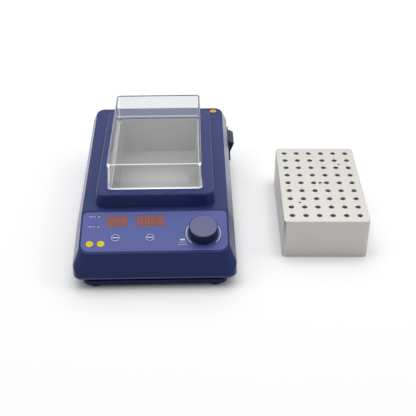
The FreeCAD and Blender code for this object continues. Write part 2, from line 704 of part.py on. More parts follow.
def base_tray():
    pan = case_outline_prism(TRAY_SIDE_INSET, TRAY_INSET, TRAY_BOTTOM_Z, TRAY_LEDGE_Z)
    lower = [e for e in pan.Edges if e.BoundBox.ZMax < TRAY_BOTTOM_Z + NEAR]
    pan = pan.makeChamfer(TRAY_CHAMFER, lower)
    neck_side = TRAY_SIDE_INSET + TRAY_NECK_STEP
    neck_end = TRAY_INSET + TRAY_NECK_STEP
    neck = case_outline_prism(neck_side, neck_end, TRAY_LEDGE_Z - OVERCUT, TRAY_NECK_TOP_Z)
    brim_inset = WALL + TRAY_BRIM_GAP
    brim = case_outline_prism(brim_inset, brim_inset, TRAY_NECK_TOP_Z - TRAY_BRIM_T, TRAY_NECK_TOP_Z)
    inside = case_outline_prism(neck_side + TRAY_WALL, neck_end + TRAY_WALL, TRAY_FLOOR_Z,
                                TRAY_NECK_TOP_Z + OVERCUT)
    tray = pan.multiFuse([neck, brim]).cut(inside)
    solids = [tray]
    for x, y in case_posts():
        solids.append(rod(x, y, TRAY_BOTTOM_Z + TRAY_CHAMFER, CASE_JOINT_Z, CASE_POST_R))
    for x, y in well_posts():
        solids.append(rod(x, y, TRAY_FLOOR_Z - OVERCUT, TRAY_FLOOR_Z + SCREW_PAD_T, SCREW_PAD_R))
    tray = join(solids)

    cuts = []
    for x, y in case_posts():
        cuts.append(rod(x, y, 0, CASE_JOINT_Z + OVERCUT, CASE_SCREW_R + SCREW_FIT))
        cuts.append(rod(x, y, 0, TRAY_BOTTOM_Z + CASE_SCREW_SEAT, CASE_HEAD_R + HEAD_FIT))
    for x, y in well_posts():
        cuts.append(rod(x, y, 0, CLAMP_Z, CASE_SCREW_R + SCREW_FIT))
        cuts.append(rod(x, y, 0, WELL_SCREW_SEAT, CASE_HEAD_R + HEAD_FIT))
    for x, y in foot_places():
        cuts.append(rod(x, y, TRAY_BOTTOM_Z - OVERCUT, TRAY_BOTTOM_Z + FOOT_RECESS, FOOT_R + FOOT_FIT))
    for side in (-1, 1):
        for i in range(VENT_COUNT):
            y = WELL_Y + (i - (VENT_COUNT - 1) / 2) * VENT_PITCH
            x = side * (POST_X + VENT_LENGTH / 2 + VENT_GAP)
            cuts.append(prism(x - VENT_LENGTH / 2, x + VENT_LENGTH / 2, y - VENT_WIDTH / 2,
                              y + VENT_WIDTH / 2, 0, TRAY_FLOOR_Z + OVERCUT,
                              (VENT_WIDTH - VENT_END_FLAT) / 2))
    save("base_tray", tray.cut(Part.makeCompound(cuts)))

    screws = []
    for x, y in case_posts():
        seat = TRAY_BOTTOM_Z + CASE_SCREW_SEAT
        head = rod(x, y, seat - CASE_HEAD_T, seat, CASE_HEAD_R)
        screws.append(head.fuse(rod(x, y, seat, CASE_JOINT_Z + CASE_SCREW_REACH, CASE_SCREW_R - SHANK_IN)))
    save_group("case_screws", screws)


def foot_places():
    front = FRONT_Y + FOOT_FRONT
    rear = REAR_Y - FOOT_REAR
    return [(side * FOOT_X, y) for side in (-1, 1) for y in (front, rear)]


def feet():
    top = TRAY_BOTTOM_Z + FOOT_RECESS
    shapes = []
    for x, y in foot_places():
        pad = Part.makeCone(FOOT_R - FOOT_TAPER, FOOT_R, top, Vector(x, y, 0))
        shapes.append(pad.cut(rod(x, y, -OVERCUT, FOOT_CUP_DEPTH, FOOT_R / 2)))
    save_group("rubber_feet", shapes)


def well_posts():
    return [(sx * POST_X, WELL_Y + sy * POST_Y) for sx in (-1, 1) for sy in (-1, 1)]


def well_prism(grow, z0, z1, r):
    return prism(-WELL_HALF_X - grow, WELL_HALF_X + grow, WELL_Y - WELL_HALF_Y - grow,
                 WELL_Y + WELL_HALF_Y + grow, z0, z1, r)


def heated_well():
    outer_r = WELL_CORNER_R + WELL_WALL
    body = well_prism(WELL_WALL, WELL_UNDER_Z, WELL_RIM_Z, outer_r)
    body = body.cut(well_prism(0, WELL_FLOOR_Z, WELL_RIM_Z + OVERCUT, WELL_CORNER_R))
    blind = WELL_FLOOR_T - WELL_THREAD_ROOF
    front = WELL_Y - WELL_HALF_Y - WELL_WALL
    probe_z = WELL_FLOOR_Z - WELL_FLOOR_T / 2
    cuts = [rod(x, y, WELL_UNDER_Z - OVERCUT, WELL_UNDER_Z + blind, CASE_SCREW_R) for x, y in well_posts()]
    bore_start = Vector(PROBE_X, front - OVERCUT, probe_z)
    cuts.append(rod_along(bore_start, Vector(0, 1, 0), PROBE_DEPTH + OVERCUT, PROBE_R + PROBE_FIT))
    save("heating_well", body.cut(Part.makeCompound(cuts)))

    def holed(shape, r):
        return shape.cut(Part.makeCompound([rod(x, y, 0, WELL_RIM_Z, r) for x, y in well_posts()]))

    heater = well_prism(0, WELL_UNDER_Z - HEATER_T, WELL_UNDER_Z, WELL_CORNER_R)
    save("heater_mat", holed(heater, CASE_SCREW_R + HEATER_HOLE_FIT))
    clamp = well_prism(0, CLAMP_Z, CLAMP_Z + CLAMP_T, WELL_CORNER_R)
    save("heater_clamp_plate", holed(clamp, CASE_SCREW_R + SCREW_FIT))
    pad = well_prism(0, CLAMP_Z - PAD_T, CLAMP_Z, WELL_CORNER_R)
    pad = holed(pad, POST_R + HEATER_HOLE_FIT).cut(rod(0, WELL_Y, 0, CLAMP_Z, CUTOUT_R + CUTOUT_FIT))
    save("insulation_pad", pad)

    jacket = well_prism(WELL_WALL + JACKET_T, CLAMP_Z, JACKET_TOP_Z, outer_r + JACKET_T)
    jacket = jacket.cut(well_prism(WELL_WALL + JACKET_GAP, 0, WELL_RIM_Z, outer_r + JACKET_GAP))
    jacket_front = front - JACKET_T - OVERCUT
    jacket = jacket.cut(rod_along(Vector(PROBE_X, jacket_front, probe_z), Vector(0, 1, 0),
                                  JACKET_T + 2 * OVERCUT, PROBE_R + JACKET_PROBE_FIT))
    save("insulation_jacket", jacket)

    posts = []
    for x, y in well_posts():
        posts.append(hexagon(x, y, TRAY_FLOOR_Z + SCREW_PAD_T, CLAMP_Z, POST_R - POST_FLATS_IN,
                             CASE_SCREW_R + SCREW_FIT))
    save_group("well_standoffs", posts)
    screws = []
    for x, y in well_posts():
        shank = rod(x, y, WELL_SCREW_SEAT, WELL_UNDER_Z + blind - END_GAP, CASE_SCREW_R - METAL_SHANK_IN)
        screws.append(shank.fuse(rod(x, y, WELL_SCREW_SEAT - CASE_HEAD_T, WELL_SCREW_SEAT, CASE_HEAD_R)))
    save_group("well_screws", screws)

    probe = rod_along(Vector(PROBE_X, front - JACKET_T - PROBE_OUT, probe_z), Vector(0, 1, 0),
                      JACKET_T + PROBE_OUT + PROBE_DEPTH - PROBE_END_GAP, PROBE_R)
    save("well_temperature_probe", probe)
    disc = rod(0, WELL_Y, CLAMP_Z - CUTOUT_HEIGHT, CLAMP_Z, CUTOUT_R)
    half = CUTOUT_TAB_WIDTH / 2
    under = CLAMP_Z - CUTOUT_HEIGHT
    tabs = [box(x - half, x + half, WELL_Y - TAB_T / 2, WELL_Y + TAB_T / 2, under - CUTOUT_TAB_LENGTH, under)
            for x in (-CUTOUT_TAB_X, CUTOUT_TAB_X)]
    save("thermal_cutout", join([disc] + tabs))


def rod_socket():
    y = REAR_Y - SOCKET_GAP
    top = deck_z(y)
    insert = rod(SOCKET_X, y, top - SOCKET_LENGTH - SOCKET_NUT_T, top, SOCKET_R)
    insert = insert.cut(rod(SOCKET_X, y, top - SOCKET_LENGTH + SOCKET_PLUG_T, top + OVERCUT, SOCKET_BORE_R))
    save("rod_socket", insert)
    under = top - SOCKET_LENGTH
    nut = hexagon(SOCKET_X, y, under - SOCKET_NUT_T, under, SOCKET_NUT_R, SOCKET_R + THREAD_FIT)
    save("rod_socket_nut", nut)


def panel_parts():
    film = film_prism(0.0, -(FILM_SINK + FILM_T), -FILM_SINK).cut(Part.makeCompound(panel_cuts()))
    save("panel_film", on_panel(film))
    face = -(FILM_SINK + FILM_T)
    for node, x, width in (("temperature", TEMP_X, TEMP_WIDTH), ("timer", TIMER_X, TIMER_WIDTH)):
        save(node + "_window", on_panel(window_outline(x, width, 0.0, face, -FILM_SINK)))
        save(node + "_display", on_panel(window_outline(x, width, -DISPLAY_GAP, BOARD_TOP, face)))

    lamps = []
    for s in LAMP_S:
        stem = rod(LAMP_X, -s, BOARD_TOP, -LAMP_R, LAMP_R)
        dome = Part.makeSphere(LAMP_R, Vector(LAMP_X, -s, -LAMP_R))
        flange = rod(LAMP_X, -s, BOARD_TOP, BOARD_TOP + LAMP_FLANGE_T, LAMP_R + LAMP_FLANGE_OUT)
        lamps.append(on_panel(join([stem, dome, flange])))
    save_group("status_lamps", lamps)

    for node, x in (("temperature_key", KEY_X[0]), ("timer_key", KEY_X[1])):
        neck = -WALL - RUNNING_GAP
        cap = rod(x, -KEY_S, neck, -FILM_SINK, KEY_R)
        flange = rod(x, -KEY_S, neck - KEY_FLANGE_T, neck, KEY_FLANGE_R)
        stem = rod(x, -KEY_S, TACT_TOP - KEY_STEM_DIP, neck, KEY_STEM_R)
        save(node, on_panel(join([cap, flange, stem])))
    tacts = []
    cup = KEY_STEM_DIP + KEY_TRAVEL + KEY_GAP
    for x in KEY_X:
        half = TACT_SIDE / 2
        body = box(x - half, x + half, -KEY_S - half, -KEY_S + half, BOARD_TOP, TACT_TOP)
        well = rod(x, -KEY_S, TACT_TOP - cup, TACT_TOP + OVERCUT, KEY_STEM_R + KEY_GAP)
        tacts.append(on_panel(body.cut(well)))
    save_group("tact_switches", tacts)

    board = box(-BOARD_HALF_X, BOARD_HALF_X, -BOARD_BOTTOM_S, -BOARD_TOP_S, BOARD_TOP - BOARD_T, BOARD_TOP)
    holes = [rod(x, -s, BOARD_TOP - 2 * BOARD_T, BOARD_TOP + OVERCUT, CASE_SCREW_R + SCREW_FIT)
             for x, s in board_bosses()]
    save("control_board", on_panel(board.cut(Part.makeCompound(holes))))
    screws = []
    for x, s in board_bosses():
        under = BOARD_TOP - BOARD_T
        shank = rod(x, -s, under, -WALL - BOARD_PILOT_ROOF - END_GAP, CASE_SCREW_R - SHANK_IN)
        screws.append(on_panel(shank.fuse(rod(x, -s, under - CASE_HEAD_T, under, CASE_HEAD_R))))
    save_group("control_board_screws", screws)


def control_knob():
    x, y = KNOB_X, -KNOB_S
    half = ENCODER_SIDE / 2
    cavity_floor = BOARD_TOP + CAVITY_FLOOR_T
    cavity_top = SHAFT_FOOT + SHAFT_FLANGE_T + RUNNING_GAP
    body = box(x - half, x + half, y - half, y + half, BOARD_TOP, BOARD_TOP + ENCODER_HEIGHT)
    body = join([body, rod(x, y, BOARD_TOP + ENCODER_LID_T, BUSH_TOP, BUSH_R)])
    body = body.cut(rod(x, y, cavity_floor, cavity_top, THRUST_R + KEY_GAP))
    body = body.cut(rod(x, y, cavity_top - ENCODER_LID_T, BUSH_TOP + OVERCUT, SHAFT_R + SHAFT_FIT))
    save("encoder_body", on_panel(body))
    nut = hexagon(x, y, -FILM_SINK, -FILM_SINK + ENCODER_NUT_T, ENCODER_NUT_R, BUSH_R + THREAD_FIT)
    save("encoder_nut", on_panel(nut))

    disc_top = SHAFT_FOOT - RUNNING_GAP
    save("encoder_thrust_disc", on_panel(rod(x, y, disc_top - THRUST_T, disc_top, THRUST_R)))
    shaft = rod(x, y, SHAFT_FOOT, SHAFT_ABOVE_PANEL, SHAFT_R)
    flange = rod(x, y, SHAFT_FOOT, SHAFT_FOOT + SHAFT_FLANGE_T, THRUST_R)
    flat = box(x - SHAFT_R, x + SHAFT_R, y + SHAFT_R - SHAFT_FLAT, y + 2 * SHAFT_R, BUSH_TOP + FLAT_START,
               SHAFT_ABOVE_PANEL + OVERCUT)
    save("encoder_shaft", on_panel(join([shaft, flange]).cut(flat)))

    base = KNOB_LIFT
    top = base + KNOB_HEIGHT
    rings = []
    for z, r in ((base, KNOB_BASE_R), (top, KNOB_TOP_R)):
        points = []
        for i in range(KNOB_FACETS + 1):
            s, c = sin_cos(360.0 * i / KNOB_FACETS)
            points.append(Vector(x + r * c, y + r * s, z))
        rings.append(Part.makePolygon(points))
    knob = Part.makeLoft(rings, True, True)
    crown_cone = Part.makeCone(KNOB_TOP_R + top, KNOB_TOP_R - KNOB_EDGE, top + KNOB_EDGE,
                               Vector(x, y, -KNOB_EDGE))
    knob = knob.common(crown_cone)
    knob = knob.cut(rod(x, y, base - OVERCUT, top - KNOB_CROWN_T, KNOB_TOP_R - KNOB_SKIRT_T))
    hub = rod(x, y, BUSH_TOP + PRESS_TRAVEL + HUB_GAP, top - KNOB_CROWN_T / 2, KNOB_HUB_R)
    bore = rod(x, y, base, SHAFT_ABOVE_PANEL + BORE_END_GAP, SHAFT_R + FLAT_FIT)
    flat_fill = box(x - SHAFT_R, x + SHAFT_R, y + SHAFT_R - SHAFT_FLAT + FLAT_FIT, y + 2 * SHAFT_R,
                    BUSH_TOP + FLAT_START + KEY_GAP, SHAFT_ABOVE_PANEL + BORE_END_GAP)
    knob = join([knob, hub]).cut(bore.cut(flat_fill))
    save("control_knob", on_panel(knob))


def rocker_point(radius, degrees):
    """A point in the rocker's end view, by its angle from outwards, about the pivot."""
    s, c = sin_cos(degrees)
    return Vector(SWITCH_X - ROCKER_PIVOT_IN + radius * c, 0, SWITCH_Z + radius * s)


def power_switch():
    pivot_x = SWITCH_X - ROCKER_PIVOT_IN
    tip = math.degrees(math.acos((ROCKER_TIP_OUT + ROCKER_PIVOT_IN) / ROCKER_R))
    back = math.degrees(math.acos((ROCKER_PIVOT_IN - ROCKER_BACK_IN) / ROCKER_R))
    middle = (tip + back) / 2
    valley = Vector(SWITCH_X + ROCKER_VALLEY_OUT, 0, SWITCH_Z)
    upper = [rocker_point(ROCKER_R, a) for a in (tip, middle, back)]
    lower = [rocker_point(ROCKER_R, -a) for a in (back, middle, tip)]
    edges = [
        Part.makeLine(valley, upper[0]),
        Part.Arc(*upper).toShape(),
        Part.makeLine(upper[2], lower[0]),
        Part.Arc(*lower).toShape(),
        Part.makeLine(lower[2], valley),
    ]
    section = Part.Face(Part.Wire(edges))
    section.translate(Vector(0, SWITCH_Y - ROCKER_HALF, 0))
    rocker = section.extrude(Vector(0, 2 * ROCKER_HALF, 0))
    pin_start = Vector(pivot_x, SWITCH_Y - ROCKER_HALF - PIVOT_LENGTH, SWITCH_Z)
    pin = rod_along(pin_start, Vector(0, 1, 0), 2 * (ROCKER_HALF + PIVOT_LENGTH), PIVOT_R)
    rocker = join([rocker, pin])
    rocker.rotate(Vector(pivot_x, SWITCH_Y, SWITCH_Z), Vector(0, 1, 0), ROCKER_TILT)
    save("power_rocker", rocker)

    open_y = ROCKER_HALF + ROCKER_GAP
    open_z = ROCKER_R + ROCKER_GAP
    out_y = open_y + SWITCH_WALL
    out_z = open_z + SWITCH_WALL
    frame = box(SWITCH_X - SWITCH_DEPTH, SWITCH_X, SWITCH_Y - out_y, SWITCH_Y + out_y,
                SWITCH_Z - out_z, SWITCH_Z + out_z)
    bezel = box(SWITCH_X, SWITCH_X + BEZEL_T, SWITCH_Y - out_y - BEZEL_LIP, SWITCH_Y + out_y + BEZEL_LIP,
                SWITCH_Z - out_z - BEZEL_LIP, SWITCH_Z + out_z + BEZEL_LIP)
    hollow = box(SWITCH_X - SWITCH_CAVITY, SWITCH_X + BEZEL_T + OVERCUT, SWITCH_Y - open_y, SWITCH_Y + open_y,
                 SWITCH_Z - open_z, SWITCH_Z + open_z)
    pin_hole_start = Vector(pivot_x, SWITCH_Y - open_y - PIVOT_LENGTH, SWITCH_Z)
    pin_hole = rod_along(pin_hole_start, Vector(0, 1, 0), 2 * (open_y + PIVOT_LENGTH), PIVOT_R + PIVOT_FIT)
    blades = []
    back_x = SWITCH_X - SWITCH_DEPTH
    half = SWITCH_TAB_WIDTH / 2
    for y in (SWITCH_Y - SWITCH_TAB_PITCH / 2, SWITCH_Y + SWITCH_TAB_PITCH / 2):
        for z in (SWITCH_Z - SWITCH_TAB_PITCH / 2, SWITCH_Z + SWITCH_TAB_PITCH / 2):
            blades.append(box(back_x - SWITCH_TAB_OUT, back_x + OVERCUT, y - half, y + half,
                              z - TAB_T / 2, z + TAB_T / 2))
    save("power_switch_frame", join([frame, bezel]).cut(hollow).cut(pin_hole))
    save_group("switch_terminals", [blade.cut(frame) for blade in blades])


def mains_inlet():
    y_face = REAR_Y + INLET_FLANGE_T
    flange = box(INLET_X - INLET_HALF_X, INLET_X + INLET_HALF_X, REAR_Y, y_face,
                 INLET_Z - INLET_HALF_Z, INLET_Z + INLET_HALF_Z)
    upright = [e for e in flange.Edges if e.BoundBox.YLength > INLET_FLANGE_T - NEAR]
    flange = flange.makeFillet(INLET_CORNER_R, upright)
    half_x = INLET_BODY_HALF_X - INLET_FIT
    half_z = INLET_BODY_HALF_Z - INLET_FIT
    body = box(INLET_X - half_x, INLET_X + half_x, REAR_Y - INLET_DEPTH, REAR_Y, INLET_Z - half_z,
               INLET_Z + half_z)
    w = INLET_SHROUD_W / 2
    h = INLET_SHROUD_H / 2
    cz = INLET_Z + INLET_SHROUD_Z
    slant = INLET_SHROUD_SLANT
    corners = [(-w, -h), (w, -h), (w, h - slant), (w - slant, h), (-w + slant, h), (-w, h - slant)]
    points = [Vector(INLET_X + px, y_face + OVERCUT, cz + pz) for px, pz in corners]
    shroud = Part.Face(Part.makePolygon(points + points[:1]))
    shroud = shroud.extrude(Vector(0, -INLET_SHROUD_DEPTH - OVERCUT, 0))
    dz = INLET_Z - DRAWER_Z
    slot = box(INLET_X - DRAWER_W / 2, INLET_X + DRAWER_W / 2, y_face - DRAWER_DEPTH, y_face + OVERCUT,
               dz - DRAWER_H / 2, dz + DRAWER_H / 2)
    inlet = join([flange, body]).cut(shroud).cut(slot)
    for side in (-INLET_SCREW_X, INLET_SCREW_X):
        start = Vector(INLET_X + side, y_face + OVERCUT, INLET_Z)
        inlet = inlet.cut(rod_along(start, Vector(0, -1, 0), INLET_SCREW_LENGTH, CASE_SCREW_R + SCREW_FIT))
    save("mains_inlet", inlet)

    blades = []
    half_x = INLET_PIN_WIDTH / 2
    half_z = INLET_PIN_HEIGHT / 2
    for px, pz in INLET_PINS:
        x = INLET_X + px
        blades.append(box(x - half_x, x + half_x, y_face - INLET_SHROUD_DEPTH, y_face - INLET_PIN_SHORT,
                          cz + pz - half_z, cz + pz + half_z))
    save_group("inlet_blades", blades)

    screws = []
    for side in (-INLET_SCREW_X, INLET_SCREW_X):
        seat = Vector(INLET_X + side, y_face, INLET_Z)
        head = rod_along(seat, Vector(0, 1, 0), INLET_HEAD_T, INLET_HEAD_R)
        shank = rod_along(seat, Vector(0, -1, 0), INLET_SCREW_LENGTH, CASE_SCREW_R - METAL_SHANK_IN)
        screws.append(head.fuse(shank))
    save_group("inlet_screws", screws)

    w = DRAWER_W / 2 - DRAWER_GAP
    h = DRAWER_H / 2 - DRAWER_GAP
    drawer = box(INLET_X - w, INLET_X + w, y_face - DRAWER_DEPTH + DRAWER_END_GAP, y_face, dz - h, dz + h)
    face = box(INLET_X - DRAWER_FACE_W / 2, INLET_X + DRAWER_FACE_W / 2, y_face, y_face + DRAWER_FACE_T,
               dz - DRAWER_FACE_H / 2, dz + DRAWER_FACE_H / 2)
    fuse_y = y_face - DRAWER_DEPTH / 2
    tub_x = FUSE_LENGTH / 2 + FUSE_FIT
    tub_y = FUSE_R + FUSE_SIDE_FIT
    tub = box(INLET_X - tub_x, INLET_X + tub_x, fuse_y - tub_y, fuse_y + tub_y, dz - FUSE_R - FUSE_FIT,
              dz + h + OVERCUT)
    save("fuse_drawer", join([drawer, face]).cut(tub))
    fuse_start = Vector(INLET_X - FUSE_LENGTH / 2, fuse_y, dz)
    save("fuse", rod_along(fuse_start, Vector(1, 0, 0), FUSE_LENGTH, FUSE_R))


def probe_jack():
    out = Vector(0, 1, 0)
    inwards = Vector(0, -1, 0)
    on_wall = Vector(JACK_X, REAR_Y, JACK_Z)
    face = Vector(JACK_X, REAR_Y + JACK_FLANGE_T, JACK_Z)
    flange = rod_along(on_wall, out, JACK_FLANGE_T, JACK_FLANGE_R)
    barrel = rod_along(on_wall, inwards, JACK_LENGTH, JACK_R - JACK_FIT)
    jack = join([flange, barrel]).cut(rod_along(face, inwards, JACK_MOUTH_DEPTH, JACK_MOUTH_R))
    save("probe_jack", jack)
    nut = hexagon(0, 0, 0, JACK_NUT_T, JACK_NUT_R, JACK_R - JACK_FIT + THREAD_FIT)
    nut.Placement = Placement(Vector(JACK_X, REAR_Y - WALL, JACK_Z), Rotation(Vector(1, 0, 0), 90))
    save("probe_jack_nut", nut)


def power_electronics():
    x0, x1 = POWER_BOARD_X0, POWER_BOARD_X1
    y0, y1 = FRONT_Y + POWER_BOARD_FRONT, FRONT_Y + POWER_BOARD_REAR
    top = POWER_BOARD_Z + BOARD_T
    places = [(x, y) for x in (x0 + STANDOFF_INSET, x1 - STANDOFF_INSET)
              for y in (y0 + STANDOFF_INSET, y1 - STANDOFF_INSET)]
    board = box(x0, x1, y0, y1, POWER_BOARD_Z, top)
    board = board.cut(Part.makeCompound([rod(x, y, 0, 2 * top, CASE_SCREW_R + SCREW_FIT) for x, y in places]))
    save("power_board", board)
    standoffs = []
    screws = []
    for x, y in places:
        post = rod(x, y, TRAY_FLOOR_Z, POWER_BOARD_Z, STANDOFF_R)
        standoffs.append(post.cut(rod(x, y, POWER_BOARD_Z - STANDOFF_THREAD, top, CASE_SCREW_R)))
        shank = rod(x, y, POWER_BOARD_Z - POWER_SCREW_LENGTH, top, CASE_SCREW_R - METAL_SHANK_IN)
        screws.append(shank.fuse(rod(x, y, top, top + CASE_HEAD_T, CASE_HEAD_R)))
    save_group("power_board_standoffs", standoffs)
    save_group("power_board_screws", screws)

    mid_y = (y0 + y1) / 2 + POWER_PARTS_BACK

    def on_board(x, y, size):
        w, d, h = size
        return box(x - w / 2, x + w / 2, y - d / 2, y + d / 2, top, top + h)

    save("transformer", on_board(TRANSFORMER_X, mid_y, TRANSFORMER_SIZE))
    save("relay", on_board(RELAY_X, mid_y, RELAY_SIZE))
    cans = [rod(x, mid_y, top, top + CAPACITOR_HEIGHT, CAPACITOR_R) for x in CAPACITOR_X]
    save_group("capacitors", cans)
    w, d, h = SINK_SIZE
    base = box(SINK_X - w / 2, SINK_X + w / 2, mid_y, mid_y + SINK_BASE_T, top, top + h)
    fins = [base]
    for i in range(SINK_FINS):
        x = SINK_X - w / 2 + i * (w - SINK_FIN_T) / (SINK_FINS - 1)
        fins.append(box(x, x + SINK_FIN_T, mid_y, mid_y + d, top, top + h))
    save("heat_sink", join(fins))
    w, d, h = TRIAC_SIZE
    save("triac", box(SINK_X - w / 2, SINK_X + w / 2, mid_y - d, mid_y, top, top + h))


def tube_block():
    half_x = BLOCK_WIDTH / 2
    half_y = BLOCK_LENGTH / 2
    top = BLOCK_HEIGHT
    block = prism(-half_x, half_x, -half_y, half_y, 0, top, BLOCK_CORNER_R)
    block = block.makeChamfer(BLOCK_EDGE, [e for e in block.Edges if e.BoundBox.ZMin > top - NEAR])
    holes = []
    for row in range(TUBE_ROWS):
        for column in range(TUBE_COLUMNS):
            x = (column - (TUBE_COLUMNS - 1) / 2) * TUBE_PITCH_X
            y = (row - (TUBE_ROWS - 1) / 2) * TUBE_PITCH_Y
            tip = Part.makeCone(TUBE_TIP_R, TUBE_R, TUBE_TIP_DEPTH - TUBE_DEPTH,
                                Vector(x, y, top - TUBE_TIP_DEPTH))
            holes.append(rod(x, y, top - TUBE_DEPTH, top + OVERCUT, TUBE_R).fuse(tip))
    holes.append(rod(0, 0, top - LIFT_DEPTH, top + OVERCUT, LIFT_R))
    for side in (-1, 1):
        x = side * SENSOR_AT[0] * TUBE_PITCH_X
        y = side * SENSOR_AT[1] * TUBE_PITCH_Y
        holes.append(rod(x, y, top - SENSOR_DEPTH, top + OVERCUT, SENSOR_R))
    block = block.cut(Part.makeCompound(holes))
    block.Placement = Placement(Vector(BLOCK_X, BLOCK_Y, 0), Rotation(Vector(0, 0, 1), BLOCK_TURN))
    save("tube_block", block)


upper_housing()
well_collar()
lid()
base_tray()
feet()
heated_well()
rod_socket()
panel_parts()
control_knob()
power_switch()
mains_inlet()
probe_jack()
power_electronics()
tube_block()
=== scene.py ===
"""Looks of the dry bath incubator: finishes, printed marks, small hardware, camera and light."""
import math

import bmesh
import bpy
from mathutils import Matrix, Vector


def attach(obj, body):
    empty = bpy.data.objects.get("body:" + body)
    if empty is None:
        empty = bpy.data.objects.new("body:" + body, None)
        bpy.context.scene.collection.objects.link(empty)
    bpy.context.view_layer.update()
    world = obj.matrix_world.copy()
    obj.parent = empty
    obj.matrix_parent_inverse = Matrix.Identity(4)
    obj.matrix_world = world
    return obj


MM = 0.001

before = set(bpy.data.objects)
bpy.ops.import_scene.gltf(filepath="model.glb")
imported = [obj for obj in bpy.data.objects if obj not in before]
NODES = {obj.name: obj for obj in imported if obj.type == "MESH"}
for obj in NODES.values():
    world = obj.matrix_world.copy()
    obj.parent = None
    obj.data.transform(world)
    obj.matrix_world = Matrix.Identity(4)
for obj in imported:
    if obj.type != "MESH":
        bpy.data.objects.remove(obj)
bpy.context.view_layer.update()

# Places repeated from the solids, in millimetres
FOLD = (0.0, -83.0, 60.7)           # where the control panel meets the top
PANEL_TILT = 16.0
FILM_FACE = -0.1
FILM_HALF = 78.0
FILM_TOP = 2.8                      # from the fold down to the film
FILM_BOTTOM = 56.4
FILM_TOP_R = 5.0
FILM_BOTTOM_R = 10.0
DISPLAY_S = 15.7                    # display centres, from the fold
DISPLAY_HEIGHT = 14.0
KEY_S = 38.2
KEY_X = {"temperature": -41.7, "timer": -4.7}
LAMP_S = (8.9, 22.9)
KNOB_AT = (52.4, -33.5)
KNOB_FACE = 11.7
SWITCH_PIVOT = (84.6, 95.0, 38.4)
BLOCK_AT = (191.6, -13.7)
BLOCK_TURN = -1.6
BLOCK_TOP = 48.5
TUBE_COLUMNS = 6
TUBE_ROWS = 9
TUBE_PITCH = (15.05, 16.94)
TUBE_R = 3.2
LIFT_R = 2.1
SENSOR_AT = (27.09, 41.5)
SENSOR_R = 1.5
TUBE_EDGE = 0.3                     # width of the bright chamfer at a bore's mouth
BORE_EDGE = 0.25
MOUTH_RISE = 0.02
SOCKET_AT = (69.0, 120.0, 74.9)
SOCKET_R = 2.5
INLET_AT = (-42.0, 147.4, 34.5)
INLET_SCREW_X = 19.8
JACK_AT = (40.0, 147.0, 34.5)

# Heights and depths at which the painted highlights of the lid and the rim change, in metres
LID_FRONT_Y = -0.060                # front of this, the painted glow on the lid's rounded edges is strongest
LID_TOP_Z = 0.104
LID_FOOT_Z = 0.0770
PAINTED_RIM_HIGHLIGHT_Z = 0.0155                # below this the housing's rim gets a painted highlight, a lighter colour for the light its rounded edge catches

# Printed marks, digits and the painted highlight round the film, in millimetres
PRINT_T = 0.04
DIGIT_T = 0.02
WINDOW_EDGE_T = 0.015
WINDOWS = ((-41.0, 22.4), (-4.9, 29.6))     # centre and width
WINDOW_EDGE = 0.7
BORDER_IN = 0.2
BORDER_WIDTH = 0.75
DIAL_INNER = 17.9
DIAL_OUTER = 18.9
DIAL_ARCS = ((80.0, 147.0), (74.0, -43.0))  # sweep and start in degrees
LEGEND_X = 30.1
LEGEND_BLOCK = (-42.0, 5.2, 2.2)    # place, width and height
LEGENDS = ((-45.6, 8.0), (-48.6, 10.0))     # place and width
LEGEND_HEIGHT = 1.1
LEGEND_CORNER = 0.5
LAMP_LEGENDS = ((-69.4, 4.2), (-65.6, 2.0))     # place and width
LAMP_LEGEND_HEIGHT = 1.4
BAR_CORNER = 0.6
KEY_RING = (3.95, 4.55)             # inner and outer radius
KEY_BAR = (6.4, 1.3)                # width and height
DOT_X = (-68.8, -56.8)
DOT_S = 46.2
DOT_R = 3.9

# Painted highlights of the clear plastic: a glow on its rounded edges and foot
EDGE_FLAT = 0.84                    # largest part of the normal that still counts as an edge
EDGE_FLAT_TOP = 0.11                # added to it on the front edge
PAINTED_EDGE_GLOW = 0.25
PAINTED_EDGE_GLOW_TOP = 0.5
PAINTED_FOOT_GLOW = 0.22

# Camera, at the photograph's angle
CAMERA_AT = Vector((43.5, -844.6, 579.7)) * MM
CAMERA_DOWN = 34.21                 # degrees below level
CAMERA_YAW = 1.1                    # degrees to the right of straight ahead
CAMERA_ROLL = -0.19
CAMERA_LENS = 72.58
CAMERA_SENSOR = 36.0
CAMERA_NEAR = 0.05
CAMERA_FAR = 20.0

# Light and floor
FLOOR_SIZE = 6.0
FLOOR_GREY = 0.84
FLOOR_GLOW = 0.36                   # near the part, a painted shade that deepens the shadow there; it rises to 1 far from it
GLOW_FROM = 0.5
GLOW_TO = 2.0
# Painted contact shade: an occlusion mask dims the floor's glow close to the part.
CONTACT_SHADE_REACH = 0.02
CONTACT_SHADE_POWER = 1.5
SKY_LIGHT = 0.16
LAMP_TARGET = Vector((0.05, 0.0, 0.05))
LAMPS = (                           # name, place, size, power
    ("over_rear", (0.1, 0.45, 1.5), 2.4, 19.0),
    ("over_left", (-1.0, -0.2, 1.2), 0.9, 3.0),
    ("over_right", (1.2, -0.2, 1.1), 0.9, 3.0),
)


def turned(degrees, axis):
    return Matrix.Rotation(math.radians(degrees), 4, axis)


def placed(x, y, z):
    return Matrix.Translation(Vector((x, y, z)) * MM)


PANEL = placed(*FOLD) @ turned(PANEL_TILT, "X")
REAR = turned(-90.0, "X")           # a frame's z points to the rear, its y down


# Effects shared by several finishes

def start_group(name, values):
    """Node group with a Vector input, the named numbers or colours, and nothing put out yet."""
    group = bpy.data.node_groups.new(name, "ShaderNodeTree")
    group.interface.new_socket(name="Vector", in_out="INPUT", socket_type="NodeSocketVector")
    for label, value in values.items():
        colour = isinstance(value, tuple)
        kind = "NodeSocketColor" if colour else "NodeSocketFloat"
        socket = group.interface.new_socket(name=label, in_out="INPUT", socket_type=kind)
        socket.default_value = value
    return group, group.nodes.new("NodeGroupInput"), group.nodes.new("NodeGroupOutput")


def put_out(group, label, kind):
    group.interface.new_socket(name=label, in_out="OUTPUT", socket_type=kind)


